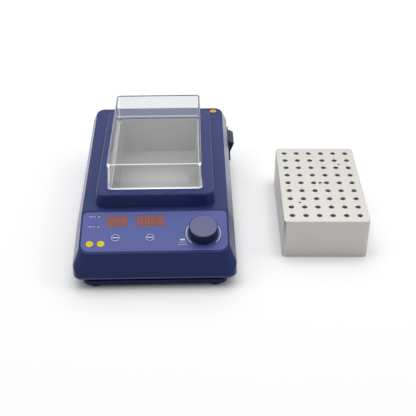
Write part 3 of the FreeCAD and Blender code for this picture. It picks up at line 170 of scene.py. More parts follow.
def maths(tree, operation, *values):
    """Math node; each value is a number or a socket that feeds it."""
    node = tree.nodes.new("ShaderNodeMath")
    node.operation = operation
    for socket, value in zip(node.inputs, values):
        if isinstance(value, (int, float)):
            socket.default_value = value
        else:
            tree.links.new(value, socket)
    return node.outputs[0]


def noise(tree, vector, scale, detail):
    node = tree.nodes.new("ShaderNodeTexNoise")
    node.inputs["Detail"].default_value = detail
    tree.links.new(vector, node.inputs["Vector"])
    if isinstance(scale, (int, float)):
        node.inputs["Scale"].default_value = scale
    else:
        tree.links.new(scale, node.inputs["Scale"])
    return node.outputs["Fac"]


def grain_group():
    """Height of a fine surface grain: soft pits on a slow swell."""
    group, given, out = start_group("surface_grain", {"Scale": 900.0})
    put_out(group, "Height", "NodeSocketFloat")
    cells = group.nodes.new("ShaderNodeTexVoronoi")
    cells.feature = "SMOOTH_F1"
    cells.inputs["Smoothness"].default_value = 0.6
    group.links.new(given.outputs["Vector"], cells.inputs["Vector"])
    group.links.new(given.outputs["Scale"], cells.inputs["Scale"])
    wide = maths(group, "MULTIPLY", given.outputs["Scale"], 0.4)
    swell = noise(group, given.outputs["Vector"], wide, 4.0)
    height = maths(group, "ADD", maths(group, "MULTIPLY", cells.outputs["Distance"], 0.7), swell)
    group.links.new(height, out.inputs["Height"])
    return group


def drift_group():
    """A colour that drifts lighter and darker over the piece."""
    inputs = {"Color": (0.5, 0.5, 0.5, 1.0), "Scale": 12.0, "Amount": 0.1}
    group, given, out = start_group("tone_drift", inputs)
    put_out(group, "Color", "NodeSocketColor")
    cloud = noise(group, given.outputs["Vector"], given.outputs["Scale"], 3.0)
    centred = maths(group, "MULTIPLY", maths(group, "SUBTRACT", cloud, 0.5), given.outputs["Amount"])
    gain = maths(group, "ADD", maths(group, "MULTIPLY", centred, 2.0), 1.0)
    tint = group.nodes.new("ShaderNodeMix")
    tint.data_type = "RGBA"
    tint.blend_type = "MULTIPLY"
    tint.inputs["Factor"].default_value = 1.0
    group.links.new(given.outputs["Color"], tint.inputs["A"])
    group.links.new(gain, tint.inputs["B"])
    group.links.new(tint.outputs["Result"], out.inputs["Color"])
    return group


def rub_group():
    """Roughness that wanders between handled and untouched places."""
    group, given, out = start_group("rubbed", {"Roughness": 0.4, "Amount": 0.08, "Scale": 30.0})
    put_out(group, "Roughness", "NodeSocketFloat")
    cloud = noise(group, given.outputs["Vector"], given.outputs["Scale"], 5.0)
    shift = maths(group, "MULTIPLY", maths(group, "SUBTRACT", cloud, 0.5), given.outputs["Amount"])
    group.links.new(maths(group, "ADD", given.outputs["Roughness"], shift), out.inputs["Roughness"])
    return group


GRAIN = grain_group()
DRIFT = drift_group()
RUB = rub_group()


class Finish:
    """A material under construction, with its Principled shader and its Object coordinates."""

    def __init__(self, name):
        self.material = bpy.data.materials.new(name)
        self.material.use_nodes = True
        self.tree = self.material.node_tree
        self.shader = self.tree.nodes["Principled BSDF"]
        self.place = self.tree.nodes.new("ShaderNodeTexCoord").outputs["Object"]

    def stretch(self, scale, at=(0.0, 0.0, 0.0), turn=(0.0, 0.0, 0.0)):
        """Object coordinates about a point, turned and scaled."""
        node = self.tree.nodes.new("ShaderNodeMapping")
        node.vector_type = "TEXTURE"
        node.inputs["Location"].default_value = at
        node.inputs["Rotation"].default_value = turn
        node.inputs["Scale"].default_value = scale
        self.tree.links.new(self.place, node.inputs["Vector"])
        return node.outputs["Vector"]

    def parts(self, vector):
        """The three numbers of a vector, by their letters."""
        node = self.tree.nodes.new("ShaderNodeSeparateXYZ")
        self.tree.links.new(vector, node.inputs["Vector"])
        return node.outputs

    def group(self, tree, vector, **values):
        node = self.tree.nodes.new("ShaderNodeGroup")
        node.node_tree = tree
        self.tree.links.new(vector, node.inputs["Vector"])
        for label, value in values.items():
            if isinstance(value, (int, float, tuple)):
                node.inputs[label].default_value = value
            else:
                self.tree.links.new(value, node.inputs[label])
        return node.outputs[0]

    def feed(self, socket, label):
        self.tree.links.new(socket, self.shader.inputs[label])

    def bump(self, height, depth, strength=1.0):
        node = self.tree.nodes.new("ShaderNodeBump")
        node.inputs["Strength"].default_value = strength
        node.inputs["Distance"].default_value = depth
        self.tree.links.new(height, node.inputs["Height"])
        self.feed(node.outputs["Normal"], "Normal")

    def set(self, **values):
        for label, value in values.items():
            self.shader.inputs[label.replace("_", " ")].default_value = value


def surface(name, colour, roughness, grain=900.0, depth=0.00002, drift=0.08, drift_scale=14.0, rub=0.08,
            metallic=0.0, specular=0.5):
    """Finish with grain, a drifting tone and rubbed places."""
    made = Finish(name)
    full = (*colour, 1.0)
    made.feed(made.group(DRIFT, made.place, Color=full, Scale=drift_scale, Amount=drift), "Base Color")
    made.feed(made.group(RUB, made.place, Roughness=roughness, Amount=rub), "Roughness")
    made.bump(made.group(GRAIN, made.place, Scale=grain), depth)
    made.set(Metallic=metallic, Specular_IOR_Level=specular)
    return made


def printed(name, colour, specular=0.5, roughness=0.45):
    """Screen printing: hardly any grain."""
    return surface(name, colour, roughness, grain=2600.0, depth=0.000004, drift=0.05, drift_scale=80.0,
                   specular=specular)


def side_gloss(made, start, amount):
    """Gloss that comes up only where the surface turns away from the eye."""
    tree = made.tree
    slope = 6.0
    away = tree.nodes.new("ShaderNodeLayerWeight")
    away.inputs["Blend"].default_value = 0.5
    rise = maths(tree, "MULTIPLY", maths(tree, "SUBTRACT", away.outputs["Facing"], start), slope)
    level = maths(tree, "MINIMUM", maths(tree, "MAXIMUM", rise, 0.0), 1.0)
    made.feed(maths(tree, "MULTIPLY", level, amount), "Coat Weight")
    made.set(Coat_Roughness=0.3)
    return made


def painted_rim_highlight(made, colour):
    """Painted highlight: lighter colour along the rim, standing in for the light its rounded edge catches.
    """
    tree = made.tree
    mix = tree.nodes.new("ShaderNodeMix")
    mix.data_type = "RGBA"
    # band of the painted highlight: the housing below the rim's height
    rim = maths(tree, "LESS_THAN", made.parts(made.place)["Z"], PAINTED_RIM_HIGHLIGHT_Z)
    tree.links.new(rim, mix.inputs["Factor"])
    tree.links.new(made.shader.inputs["Base Color"].links[0].from_socket, mix.inputs["A"])
    mix.inputs["B"].default_value = (*colour, 1.0)
    made.feed(mix.outputs["Result"], "Base Color")
    return made


def brushed(name, colour, roughness, scale, metallic=1.0):
    """Metal with drawn or milled lines that run along the largest number of scale."""
    made = Finish(name)
    tree = made.tree
    lines = noise(tree, made.stretch(scale), 1.0, 4.0)
    spread = 0.18
    made.feed(made.group(DRIFT, made.place, Color=(*colour, 1.0), Scale=20.0, Amount=0.05), "Base Color")
    lowest = roughness - spread / 2
    made.feed(maths(tree, "ADD", maths(tree, "MULTIPLY", lines, spread), lowest), "Roughness")
    made.bump(lines, 0.00001)
    made.set(Metallic=metallic)
    return made


def painted_edge_glow(made):
    """Painted highlights: a glow on the panes' rounded edges and their foot, strongest at the front,
    standing in for the light they catch.
    """
    tree = made.tree
    facing = made.parts(tree.nodes.new("ShaderNodeTexCoord").outputs["Normal"])
    sizes = [maths(tree, "ABSOLUTE", facing[axis]) for axis in "XYZ"]
    flat = maths(tree, "MAXIMUM", maths(tree, "MAXIMUM", sizes[0], sizes[1]), sizes[2])
    spot = made.parts(made.place)
    front = maths(tree, "LESS_THAN", spot["Y"], LID_FRONT_Y)
    top = maths(tree, "MULTIPLY", front, maths(tree, "GREATER_THAN", spot["Z"], LID_TOP_Z))
    foot = maths(tree, "LESS_THAN", spot["Z"], LID_FOOT_Z)
    limit = maths(tree, "ADD", maths(tree, "MULTIPLY", top, EDGE_FLAT_TOP), EDGE_FLAT)
    level = maths(tree, "ADD", maths(tree, "MULTIPLY", top, PAINTED_EDGE_GLOW_TOP), PAINTED_EDGE_GLOW)
    edge = maths(tree, "MULTIPLY", maths(tree, "LESS_THAN", flat, limit), level)
    return maths(tree, "ADD", edge, maths(tree, "MULTIPLY", foot, PAINTED_FOOT_GLOW))


def clear_plastic(name):
    """Clear acrylic whose shadow lets the light through, with painted highlights glowing on its edges and
    foot.
    """
    made = Finish(name)
    made.set(Base_Color=(0.90, 0.905, 0.915, 1.0), Roughness=0.02, IOR=1.47, Transmission_Weight=1.0,
             Emission_Strength=1.0)
    made.bump(noise(made.tree, made.place, 30.0, 1.0), 0.00002, 0.4)
    # Painted highlights: the glow on the edges and foot goes into the Emission Color.
    made.feed(painted_edge_glow(made), "Emission Color")
    tree = made.tree
    through = tree.nodes.new("ShaderNodeBsdfTransparent")
    through.inputs["Color"].default_value = (0.93, 0.935, 0.94, 1.0)
    path = tree.nodes.new("ShaderNodeLightPath")
    mix = tree.nodes.new("ShaderNodeMixShader")
    out = tree.nodes["Material Output"]
    tree.links.new(path.outputs["Is Shadow Ray"], mix.inputs["Fac"])
    tree.links.new(made.shader.outputs["BSDF"], mix.inputs[1])
    tree.links.new(through.outputs["BSDF"], mix.inputs[2])
    tree.links.new(mix.outputs["Shader"], out.inputs["Surface"])
    return made


def ribbed(name, colour, ribs):
    """Knob side with fine upright ribs round its own axis."""
    made = surface(name, colour, 0.5, specular=0.2)
    at = PANEL @ (Vector((KNOB_AT[0], KNOB_AT[1], 0.0)) * MM)
    vector = made.stretch((1.0, 1.0, 1.0), at, (math.radians(PANEL_TILT), 0.0, 0.0))
    angle = made.tree.nodes.new("ShaderNodeTexGradient")
    angle.gradient_type = "RADIAL"
    made.tree.links.new(vector, angle.inputs["Vector"])
    turns = maths(made.tree, "MULTIPLY", angle.outputs["Fac"], 2 * math.pi * ribs)
    made.bump(maths(made.tree, "SINE", turns), 0.00025, 0.8)
    return made


def housing_blue():
    made = surface("moulded_blue", (0.026, 0.042, 0.168), 0.34, grain=1400.0, depth=0.00003, drift=0.07,
                   specular=0.14)
    # The lighter blue along the rim is a painted highlight.
    return side_gloss(painted_rim_highlight(made, (0.105, 0.130, 0.300)), 0.52, 0.8)


def display_red(name, colour):
    return surface(name, colour, 0.3, grain=1200.0, depth=0.000004, drift=0.10, drift_scale=60.0,
                   specular=0.3)


def film_blue(name, colour, roughness, specular):
    return surface(name, colour, roughness, grain=2600.0, depth=0.000006, drift=0.04, specular=specular)


def finishes():
    return {
        "housing": housing_blue(),
        "tray": surface("tray_blue", (0.024, 0.037, 0.130), 0.4, grain=1400.0, depth=0.00003, drift=0.07,
                        specular=0.12),
        "film": film_blue("panel_print", (0.086, 0.114, 0.405), 0.36, 0.35),
        # Painted shade and light: the knob's ribbed side is darker and its cap lighter, lit and shaded
        # copies of one blue.
        "knob": ribbed("knob_ribs_painted_shade", (0.012, 0.017, 0.060), 60),
        "knob_top_painted_light": surface("knob_painted_light_cap", (0.090, 0.102, 0.250), 0.42, grain=1800.0, depth=0.00001,
                            drift=0.06, specular=0.6),
        "keys": film_blue("key_cap", (0.072, 0.098, 0.385), 0.4, 0.2),
        "clear": clear_plastic("clear_acrylic"),
        "window": display_red("display_filter", (0.300, 0.058, 0.048)),
        "segment": display_red("display_segment", (0.330, 0.140, 0.125)),
        "display": surface("display_body", (0.10, 0.10, 0.11), 0.5),
        "lamp": surface("lamp_lens", (0.78, 0.84, 0.50), 0.25, grain=800.0, depth=0.000005, drift=0.12,
                        drift_scale=200.0),
        # Painted highlight round the film, given the finish of the prints.
        "border_highlight": printed("painted_border_highlight", (0.150, 0.185, 0.500), specular=0.2, roughness=0.4),
        "print": printed("white_print", (0.78, 0.80, 0.86)),
        "print_soft": printed("pale_print", (0.36, 0.39, 0.62)),
        "mark": printed("yellow_print", (0.92, 0.76, 0.005), specular=0.2),
        "block": surface("blasted_aluminium", (0.545, 0.530, 0.505), 0.42, grain=3200.0, depth=0.00006,
                         drift=0.14, drift_scale=700.0, rub=0.1, metallic=0.7),
        "mouth": surface("turned_aluminium", (0.74, 0.74, 0.73), 0.25, grain=2000.0, depth=0.00001,
                         drift=0.05, drift_scale=40.0, rub=0.1, metallic=1.0),
        "well": brushed("milled_aluminium", (0.44, 0.44, 0.43), 0.45, (0.004, 0.0006, 0.0006),
                        metallic=0.5),
        "plate": brushed("clamp_sheet", (0.55, 0.55, 0.54), 0.4, (0.004, 0.0005, 0.0005)),
        "steel": brushed("plain_steel", (0.56, 0.55, 0.53), 0.32, (0.0005, 0.0005, 0.002)),
        "brass": brushed("turned_brass", (0.62, 0.39, 0.12), 0.26, (0.0006, 0.0006, 0.0001)),
        "heater": surface("silicone_mat", (0.30, 0.075, 0.045), 0.6, grain=700.0, depth=0.00006,
                          drift=0.12),
        "insulation": surface("mineral_fibre", (0.66, 0.62, 0.52), 0.9, grain=300.0, depth=0.0004,
                              drift=0.2, drift_scale=60.0),
        "black_plastic": surface("black_moulding", (0.020, 0.020, 0.023), 0.45, grain=1500.0,
                                 depth=0.00003, drift=0.1, specular=0.3),
        "rocker": surface("rocker_navy", (0.020, 0.029, 0.098), 0.38, grain=1500.0, depth=0.00001,
                          specular=0.2),
        "board": surface("board_green", (0.018, 0.110, 0.050), 0.4, grain=260.0, depth=0.00003,
                         drift=0.3, drift_scale=160.0),
        "relay_blue": surface("part_blue", (0.05, 0.13, 0.36), 0.4, depth=0.00001, drift=0.1),
        "foot": surface("foot_rubber", (0.016, 0.016, 0.017), 0.75, grain=700.0, depth=0.00006,
                        drift=0.15, specular=0.2),
        "fuse_glass": surface("fuse_tube", (0.70, 0.72, 0.70), 0.12, depth=0.000004, drift=0.1),
        # Dark bars on the screw heads, painted shade of their recesses.
        "recess_shade": surface("painted_recess_shade", (0.012, 0.012, 0.014), 0.7, depth=0.00001, drift=0.1),
    }


FINISH = {name: made.material for name, made in finishes().items()}

SLOT_NODES = {
    "housing": ("upper_housing", "well_collar"),
    "tray": ("base_tray",),
    "film": ("panel_film",),
    "knob": ("control_knob",),
    "keys": ("temperature_key", "timer_key"),
    "clear": ("clear_lid",),
    "window": ("temperature_window", "timer_window"),
    "display": ("temperature_display", "timer_display"),
    "lamp": ("status_lamps",),
    "block": ("tube_block",),
    "well": ("heating_well",),
    "plate": ("heater_clamp_plate", "heat_sink"),
    "heater": ("heater_mat",),
    "insulation": ("insulation_pad", "insulation_jacket"),
    "steel": ("well_screws", "collar_screws", "case_screws", "control_board_screws", "power_board_screws",
              "inlet_screws", "encoder_nut", "encoder_shaft", "encoder_thrust_disc", "inlet_blades",
              "switch_terminals", "well_temperature_probe", "thermal_cutout", "probe_jack_nut"),
    "brass": ("well_standoffs", "power_board_standoffs", "rod_socket", "rod_socket_nut"),
    "black_plastic": ("encoder_body", "mains_inlet", "fuse_drawer", "probe_jack", "power_switch_frame",
                      "tact_switches", "transformer", "triac", "capacitors"),
    "relay_blue": ("relay",),
    "rocker": ("power_rocker",),
    "board": ("control_board", "power_board"),
    "foot": ("rubber_feet",),
    "fuse_glass": ("fuse",),
}


def dress_nodes():
    """Every solid takes the finish of its slot in the record."""
    for slot, names in SLOT_NODES.items():
        for name in names:
            materials = NODES[name].data.materials
            materials.clear()
            materials.append(FINISH[slot])


# Pieces, modelled in millimetres in the frame of what they sit on

def piece(name, form, body, finish, place=Matrix(), sharp=35.0):
    """Object made of the form, placed in metres, riding the body, with the named finish."""
    bmesh.ops.remove_doubles(form, verts=form.verts, dist=0.0001)
    bmesh.ops.recalc_face_normals(form, faces=form.faces)
    bmesh.ops.transform(form, matrix=place @ Matrix.Scale(MM, 4), verts=form.verts)
    mesh = bpy.data.meshes.new(name)
    form.to_mesh(mesh)
    form.free()
    mesh.materials.append(FINISH[finish])
    mesh.polygons.foreach_set("use_smooth", [True] * len(mesh.polygons))
    mesh.set_sharp_from_angle(angle=math.radians(sharp))
    obj = bpy.data.objects.new(name, mesh)
    bpy.context.scene.collection.objects.link(obj)
    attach(obj, body)
    return obj


def add_slab(form, x, y, width, height, z0, z1, corner=0.0, turn=0.0):
    """Flat slab in the frame's plane, with rounded corners."""
    first = len(form.edges)
    spot = Matrix.Translation((x, y, (z0 + z1) / 2)) @ turned(turn, "Z")
    bmesh.ops.create_cube(form, size=1.0, matrix=spot @ Matrix.Diagonal((width, height, z1 - z0, 1.0)))
    if corner:
        form.edges.ensure_lookup_table()
        half = (z1 - z0) / 2
        upright = [e for e in form.edges[first:] if abs(e.verts[0].co.z - e.verts[1].co.z) > half]
        bmesh.ops.bevel(form, geom=upright, offset=corner, offset_type="OFFSET", segments=6, profile=0.5,
                        affect="EDGES", material=-1)


def add_turned(form, x, y, section, turn=360.0, start=0.0, steps=48):
    """Closed section of (radius, height) pairs, swept about an upright axis."""
    c, s = math.cos(math.radians(start)), math.sin(math.radians(start))
    corners = [form.verts.new((x + r * c, y + r * s, z)) for r, z in section]
    edges = [form.edges.new((a, b)) for a, b in zip(corners, corners[1:] + corners[:1])]
    full = turn >= 360.0
    bmesh.ops.spin(form, geom=corners + edges, cent=(x, y, 0.0), axis=(0.0, 0.0, 1.0),
                   angle=math.radians(turn), steps=steps, use_merge=full)
    if not full:
        bmesh.ops.holes_fill(form, edges=form.edges, sides=len(section))


def add_ring(form, x, y, inner, outer, z0, z1, turn=360.0, start=0.0, steps=48):
    add_turned(form, x, y, [(inner, z0), (outer, z0), (outer, z1), (inner, z1)], turn, start, steps)


def add_disc(form, x, y, radius, z0, z1, segments=48):
    bmesh.ops.create_cone(form, cap_ends=True, segments=segments, radius1=radius, radius2=radius,
                          depth=z1 - z0, matrix=Matrix.Translation((x, y, (z0 + z1) / 2)))


def add_border(form, x, y0, y1, low_corner, top_corner, width, z0, z1):
    """Thin raised band just inside the edge of a rectangle with rounded corners."""
    middle = (y0 + y1) / 2
    stretch = Matrix.Translation((0.0, middle, z0)) @ Matrix.Diagonal((2 * x, y1 - y0, 1.0, 1.0))
    made = bmesh.ops.create_grid(form, x_segments=1, y_segments=1, size=0.5, matrix=stretch)
    low = [v for v in made["verts"] if v.co.y < middle]
    high = [v for v in made["verts"] if v.co.y > middle]
    for radius, corners in ((low_corner, low), (top_corner, high)):
        bmesh.ops.bevel(form, geom=corners, offset=radius, offset_type="OFFSET", segments=8, profile=0.5,
                        affect="VERTICES", material=-1)
    band = bmesh.ops.inset_region(form, faces=list(form.faces), thickness=width, use_boundary=True,
                                  use_even_offset=True)["faces"]
    bmesh.ops.delete(form, geom=[f for f in form.faces if f not in band], context="FACES")
    raised = bmesh.ops.extrude_face_region(form, geom=band)["geom"]
    bmesh.ops.translate(form, verts=[v for v in raised if isinstance(v, bmesh.types.BMVert)],
                        vec=(0.0, 0.0, z1 - z0))


def film_edge_highlight():
    """Lighter line round the panel film, a painted highlight for the light its edge catches."""
    form = bmesh.new()
    add_border(form, FILM_HALF - BORDER_IN, -FILM_BOTTOM + BORDER_IN, -FILM_TOP - BORDER_IN,
               FILM_BOTTOM_R - BORDER_IN, FILM_TOP_R - BORDER_IN, BORDER_WIDTH, FILM_FACE,
               FILM_FACE + PRINT_T)
    piece("film_edge_highlight", form, "instrument", "border_highlight", PANEL)


def film_marks():
    """Plain bars, arcs and dots printed on the panel film."""
    z0, z1 = FILM_FACE, FILM_FACE + PRINT_T
    form = bmesh.new()
    for sweep, start in DIAL_ARCS:
        add_ring(form, *KNOB_AT, DIAL_INNER, DIAL_OUTER, z0, z1, sweep, start, 24)
    add_slab(form, LEGEND_X, *LEGEND_BLOCK, z0, z1, LEGEND_CORNER)
    piece("panel_marks", form, "instrument", "print", PANEL)

    form = bmesh.new()
    for y, width in LEGENDS:
        add_slab(form, LEGEND_X, y, width, LEGEND_HEIGHT, z0, z1, LEGEND_CORNER)
    for s in LAMP_S:
        for x, width in LAMP_LEGENDS:
            add_slab(form, x, -s, width, LAMP_LEGEND_HEIGHT, z0, z1, BAR_CORNER)
    piece("panel_legends", form, "instrument", "print_soft", PANEL)

    form = bmesh.new()
    for x in DOT_X:
        add_disc(form, x, -DOT_S, DOT_R, z0, z1)
    piece("panel_dots", form, "instrument", "mark", PANEL)


def key_marks():
    """A ring and a bar on each key."""
    z0, z1 = FILM_FACE, FILM_FACE + PRINT_T
    for name, x in KEY_X.items():
        form = bmesh.new()
        add_ring(form, x, -KEY_S, *KEY_RING, z0, z1)
        add_slab(form, x, -KEY_S, *KEY_BAR, z0, z1, BAR_CORNER)
        piece(name + "_key_ring", form, name + "_button", "print", PANEL)


# Place of each bar of a digit, in half widths and half heights, and whether it lies level
SEGMENTS = ((0, 1, True), (0, 0, True), (0, -1, True), (-1, 0.5, False), (1, 0.5, False), (-1, -0.5, False),
            (1, -0.5, False))
DIGIT_HALF_W = 1.9
DIGIT_HALF_H = 3.9
DIGIT_BAR = 0.95
DIGIT_GAP = 0.5
POINT_AWAY = 1.15                   # from a digit's right bars to its decimal point
POINT_R = 0.45


def digits(name, x, count, pitch):
    """Unlit seven-segment digits behind a display's filter."""
    form = bmesh.new()
    z0, z1 = FILM_FACE, FILM_FACE + DIGIT_T
    for i in range(count):
        middle = x + (i - (count - 1) / 2) * pitch
        for across, up, level in SEGMENTS:
            width = 2 * DIGIT_HALF_W - DIGIT_GAP if level else DIGIT_BAR
            height = DIGIT_BAR if level else DIGIT_HALF_H - DIGIT_GAP
            add_slab(form, middle + across * DIGIT_HALF_W, -DISPLAY_S + up * DIGIT_HALF_H, width, height,
                     z0, z1)
        add_disc(form, middle + DIGIT_HALF_W + POINT_AWAY, -DISPLAY_S - DIGIT_HALF_H, POINT_R, z0, z1, 12)
    piece(name, form, "instrument", "segment", PANEL)


def window_frames():
    """Paler edge of each display seen round its filter."""
    form = bmesh.new()
    z1 = FILM_FACE + WINDOW_EDGE_T
    for x, width in WINDOWS:
        for side in (-1, 1):
            across = side * (width - WINDOW_EDGE) / 2
            up = side * (DISPLAY_HEIGHT - WINDOW_EDGE) / 2
            add_slab(form, x + across, -DISPLAY_S, WINDOW_EDGE, DISPLAY_HEIGHT, FILM_FACE, z1)
            add_slab(form, x, -DISPLAY_S + up, width - 2 * WINDOW_EDGE, WINDOW_EDGE, FILM_FACE, z1)
    piece("window_edges", form, "instrument", "segment", PANEL)


# Radius and height over the knob's face of its dished cap
KNOB_CAP = ((0.0, -0.02), (14.55, -0.02), (14.6, 0.12), (14.2, 0.34), (13.4, 0.4), (12.4, 0.3), (8.0, 0.16),
            (3.0, 0.1), (0.0, 0.1))


def knob_painted_light_cap():
    """Dished cap on the knob, painted lighter for the light its top catches."""
    form = bmesh.new()
    add_turned(form, *KNOB_AT, [(r, KNOB_FACE + up) for r, up in KNOB_CAP], steps=96)
    piece("knob_painted_light_cap", form, "knob", "knob_top_painted_light", PANEL, 60.0)


ROCKER_BAR = (7.47, 5.11, 21.5)     # out from the pivot, up, and the face's lean in degrees
ROCKER_RING = (5.45, -7.23, -2.9)
ROCKER_MARK_Z = (-0.05, 0.06)
ROCKER_BAR_SIZE = (1.1, 6.0)
ROCKER_BAR_CORNER = 0.3
ROCKER_RING_RADII = (2.1, 3.0)


def rocker_mark(name, form, spot):
    x, z, lean = spot
    face = placed(*SWITCH_PIVOT) @ placed(x, 0.0, z) @ turned(90.0 + lean, "Y") @ turned(90.0, "Z")
    piece(name, form, "rocker", "print", face)


def rocker_marks():
    """The bar and ring of the two switch positions."""
    form = bmesh.new()
    add_slab(form, 0.0, 0.0, *ROCKER_BAR_SIZE, *ROCKER_MARK_Z, ROCKER_BAR_CORNER)
    rocker_mark("rocker_bar", form, ROCKER_BAR)
    form = bmesh.new()
    add_ring(form, 0.0, 0.0, *ROCKER_RING_RADII, *ROCKER_MARK_Z)
    rocker_mark("rocker_ring", form, ROCKER_RING)


THREAD_PITCH = 0.8
THREAD_TURNS = 18
THREAD_TOP = -1.2
THREAD_TIP_R = 2.1
SOCKET_MOUTH = ((2.5, -0.7), (3.3, -0.02), (4.25, -0.02), (4.25, 0.12), (3.2, 0.14), (2.45, -0.5))


def socket_thread():
    """Thread turned inside the rod socket, and its chamfered mouth."""
    place = placed(*SOCKET_AT)
    root = SOCKET_R + 0.02
    form = bmesh.new()
    for i in range(THREAD_TURNS):
        z = THREAD_TOP - i * THREAD_PITCH
        ridge = [(root, z), (THREAD_TIP_R, z - THREAD_PITCH / 2), (root, z - THREAD_PITCH)]
        add_turned(form, 0.0, 0.0, ridge, steps=32)
    piece("socket_thread", form, "instrument", "brass", place, 20.0)
    form = bmesh.new()
    add_turned(form, 0.0, 0.0, SOCKET_MOUTH)
    piece("socket_mouth", form, "instrument", "brass", place)


def mouth(radius, edge):
    """Section of the chamfer at a bore's mouth."""
    return [(radius, -edge), (radius + edge, 0.0), (radius + edge, MOUTH_RISE), (radius - edge / 5, -edge)]


def block_mouths():
    """Bright turned edge round each tube well and the small bores."""
    form = bmesh.new()
    for row in range(TUBE_ROWS):
        for column in range(TUBE_COLUMNS):
            x = (column - (TUBE_COLUMNS - 1) / 2) * TUBE_PITCH[0]
            y = (row - (TUBE_ROWS - 1) / 2) * TUBE_PITCH[1]
            add_turned(form, x, y, mouth(TUBE_R, TUBE_EDGE), steps=20)
    across, along = SENSOR_AT
    for x, y, radius in ((0.0, 0.0, LIFT_R), (across, along, SENSOR_R), (-across, -along, SENSOR_R)):
        add_turned(form, x, y, mouth(radius, BORE_EDGE), steps=16)
    place = placed(*BLOCK_AT, BLOCK_TOP) @ turned(BLOCK_TURN, "Z")
    piece("well_mouths", form, "block", "mouth", place, 80.0)


SCREW_HEAD = ((0.0, 0.0), (2.75, 0.0), (2.75, 0.525), (2.2, 1.275), (1.2375, 1.5), (0.0, 1.5))
CROSS_TURNS = (20.0, 110.0)
CROSS_BAR = (2.9, 0.55, 1.2, 1.53, 0.2)     # length, width, heights and corner
CONTACT_AWAY = 2.6
CONTACT_R = 0.5
CONTACT_Z = (-6.1, -1.6)
COLLAR_RING = (5.2, 6.6, -0.1, 0.55)        # radii and heights
COLLAR_KEY = (-4.9, 1.6, 1.0, -4.0, -0.2, 0.2)      # place, width, height, depths and corner


def rear_hardware():
    """Domed heads on the inlet's screws, dark bars on them as painted shade of their cross recesses, and
    the probe socket's contacts.
    """
    place = placed(*INLET_AT) @ REAR
    form = bmesh.new()
    for x in (-INLET_SCREW_X, INLET_SCREW_X):
        add_turned(form, x, 0.0, SCREW_HEAD, steps=32)
    piece("inlet_screw_heads", form, "instrument", "steel", place)
    # Painted shade: dark bars on the heads stand in for the shade in their cross recesses.
    form = bmesh.new()
    for x in (-INLET_SCREW_X, INLET_SCREW_X):
        for turn in CROSS_TURNS:
            add_slab(form, x, 0.0, *CROSS_BAR, turn)
    piece("inlet_screw_slot_shade", form, "instrument", "recess_shade", place)

    place = placed(*JACK_AT) @ REAR
    form = bmesh.new()
    for i in range(4):
        angle = math.radians(45 + 90 * i)
        x, y = CONTACT_AWAY * math.cos(angle), CONTACT_AWAY * math.sin(angle)
        add_disc(form, x, y, CONTACT_R, *CONTACT_Z, 16)
    piece("jack_contacts", form, "instrument", "brass", place)
    form = bmesh.new()
    add_ring(form, 0.0, 0.0, *COLLAR_RING)
    add_slab(form, 0.0, *COLLAR_KEY)
    piece("jack_collar", form, "instrument", "black_plastic", place)


def make_camera():
    data = bpy.data.cameras.new("camera")
    data.lens = CAMERA_LENS
    data.sensor_width = CAMERA_SENSOR
    data.clip_start = CAMERA_NEAR
    data.clip_end = CAMERA_FAR
    camera = bpy.data.objects.new("camera", data)
    bpy.context.scene.collection.objects.link(camera)
    down, yaw = math.radians(CAMERA_DOWN), math.radians(CAMERA_YAW)
    forward = Vector((math.sin(yaw) * math.cos(down), math.cos(yaw) * math.cos(down), -math.sin(down)))
    right = forward.cross(Vector((0, 0, 1))).normalized()
    up = right.cross(forward)
    turn = Matrix((right, up, -forward)).transposed().to_4x4()
    camera.matrix_world = Matrix.Translation(CAMERA_AT) @ turn @ turned(CAMERA_ROLL, "Z")
    bpy.context.scene.camera = camera


def seen_directly(tree):
    """1 where the camera sees it, also in gloss and through clear plastic."""
    path = tree.nodes.new("ShaderNodeLightPath")
    seen = maths(tree, "MAXIMUM", path.outputs["Is Camera Ray"], path.outputs["Is Glossy Ray"])
    return maths(tree, "MAXIMUM", seen, path.outputs["Is Transmission Ray"])


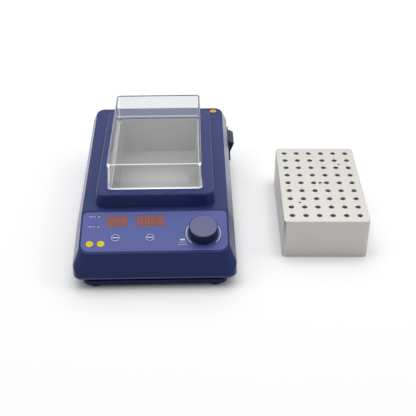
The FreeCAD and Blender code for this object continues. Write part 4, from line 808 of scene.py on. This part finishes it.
def floor_finish():
    """Pale floor that keeps the soft shadow, with painted shade: its glow is dimmed at the contact by an
    occlusion mask and is lower near the part, and it is white elsewhere.
    """
    made = Finish("floor_white")
    made.set(Base_Color=(FLOOR_GREY, FLOOR_GREY, FLOOR_GREY, 1.0), Roughness=0.95, Specular_IOR_Level=0.0)
    tree = made.tree
    close = tree.nodes.new("ShaderNodeAmbientOcclusion")
    close.inputs["Distance"].default_value = CONTACT_SHADE_REACH
    reach = tree.nodes.new("ShaderNodeVectorMath")
    reach.operation = "LENGTH"
    tree.links.new(made.place, reach.inputs[0])
    away = tree.nodes.new("ShaderNodeMapRange")
    tree.links.new(reach.outputs["Value"], away.inputs["Value"])
    ends = {"From Min": GLOW_FROM, "From Max": GLOW_TO, "To Min": FLOOR_GLOW, "To Max": 1.0}
    for label, value in ends.items():
        away.inputs[label].default_value = value
    contact = maths(tree, "POWER", close.outputs["AO"], CONTACT_SHADE_POWER)
    level = maths(tree, "MULTIPLY", contact, away.outputs["Result"])
    glow = tree.nodes.new("ShaderNodeEmission")
    tree.links.new(maths(tree, "MULTIPLY", seen_directly(tree), level), glow.inputs["Strength"])
    both = tree.nodes.new("ShaderNodeAddShader")
    tree.links.new(made.shader.outputs["BSDF"], both.inputs[0])
    tree.links.new(glow.outputs["Emission"], both.inputs[1])
    tree.links.new(both.outputs["Shader"], tree.nodes["Material Output"].inputs["Surface"])
    return made.material


def make_stage():
    form = bmesh.new()
    bmesh.ops.create_grid(form, x_segments=1, y_segments=1, size=FLOOR_SIZE)
    mesh = bpy.data.meshes.new("floor")
    form.to_mesh(mesh)
    form.free()
    floor = bpy.data.objects.new("floor", mesh)
    bpy.context.scene.collection.objects.link(floor)
    mesh.materials.append(floor_finish())

    world = bpy.data.worlds.new("studio")
    bpy.context.scene.world = world
    world.use_nodes = True
    tree = world.node_tree
    sky = tree.nodes["Background"]
    sky.inputs["Color"].default_value = (1.0, 1.0, 1.0, 1.0)
    lift = maths(tree, "MULTIPLY", seen_directly(tree), 1.0 - SKY_LIGHT)
    tree.links.new(maths(tree, "ADD", lift, SKY_LIGHT), sky.inputs["Strength"])

    for name, place, size, power in LAMPS:
        light = bpy.data.lights.new(name, "AREA")
        light.shape = "DISK"
        light.size = size
        light.energy = power
        lamp = bpy.data.objects.new(name, light)
        bpy.context.scene.collection.objects.link(lamp)
        lamp.location = place
        lamp.rotation_euler = (LAMP_TARGET - Vector(place)).to_track_quat("-Z", "Y").to_euler()


make_camera()
make_stage()
dress_nodes()
film_edge_highlight()
film_marks()
key_marks()
digits("temperature_digits", WINDOWS[0][0], count=3, pitch=6.9)
digits("timer_digits", WINDOWS[1][0], count=4, pitch=7.0)
window_frames()
knob_painted_light_cap()
rocker_marks()
socket_thread()
block_mouths()
rear_hardware()
bpy.context.scene.view_settings.view_transform = "Standard"
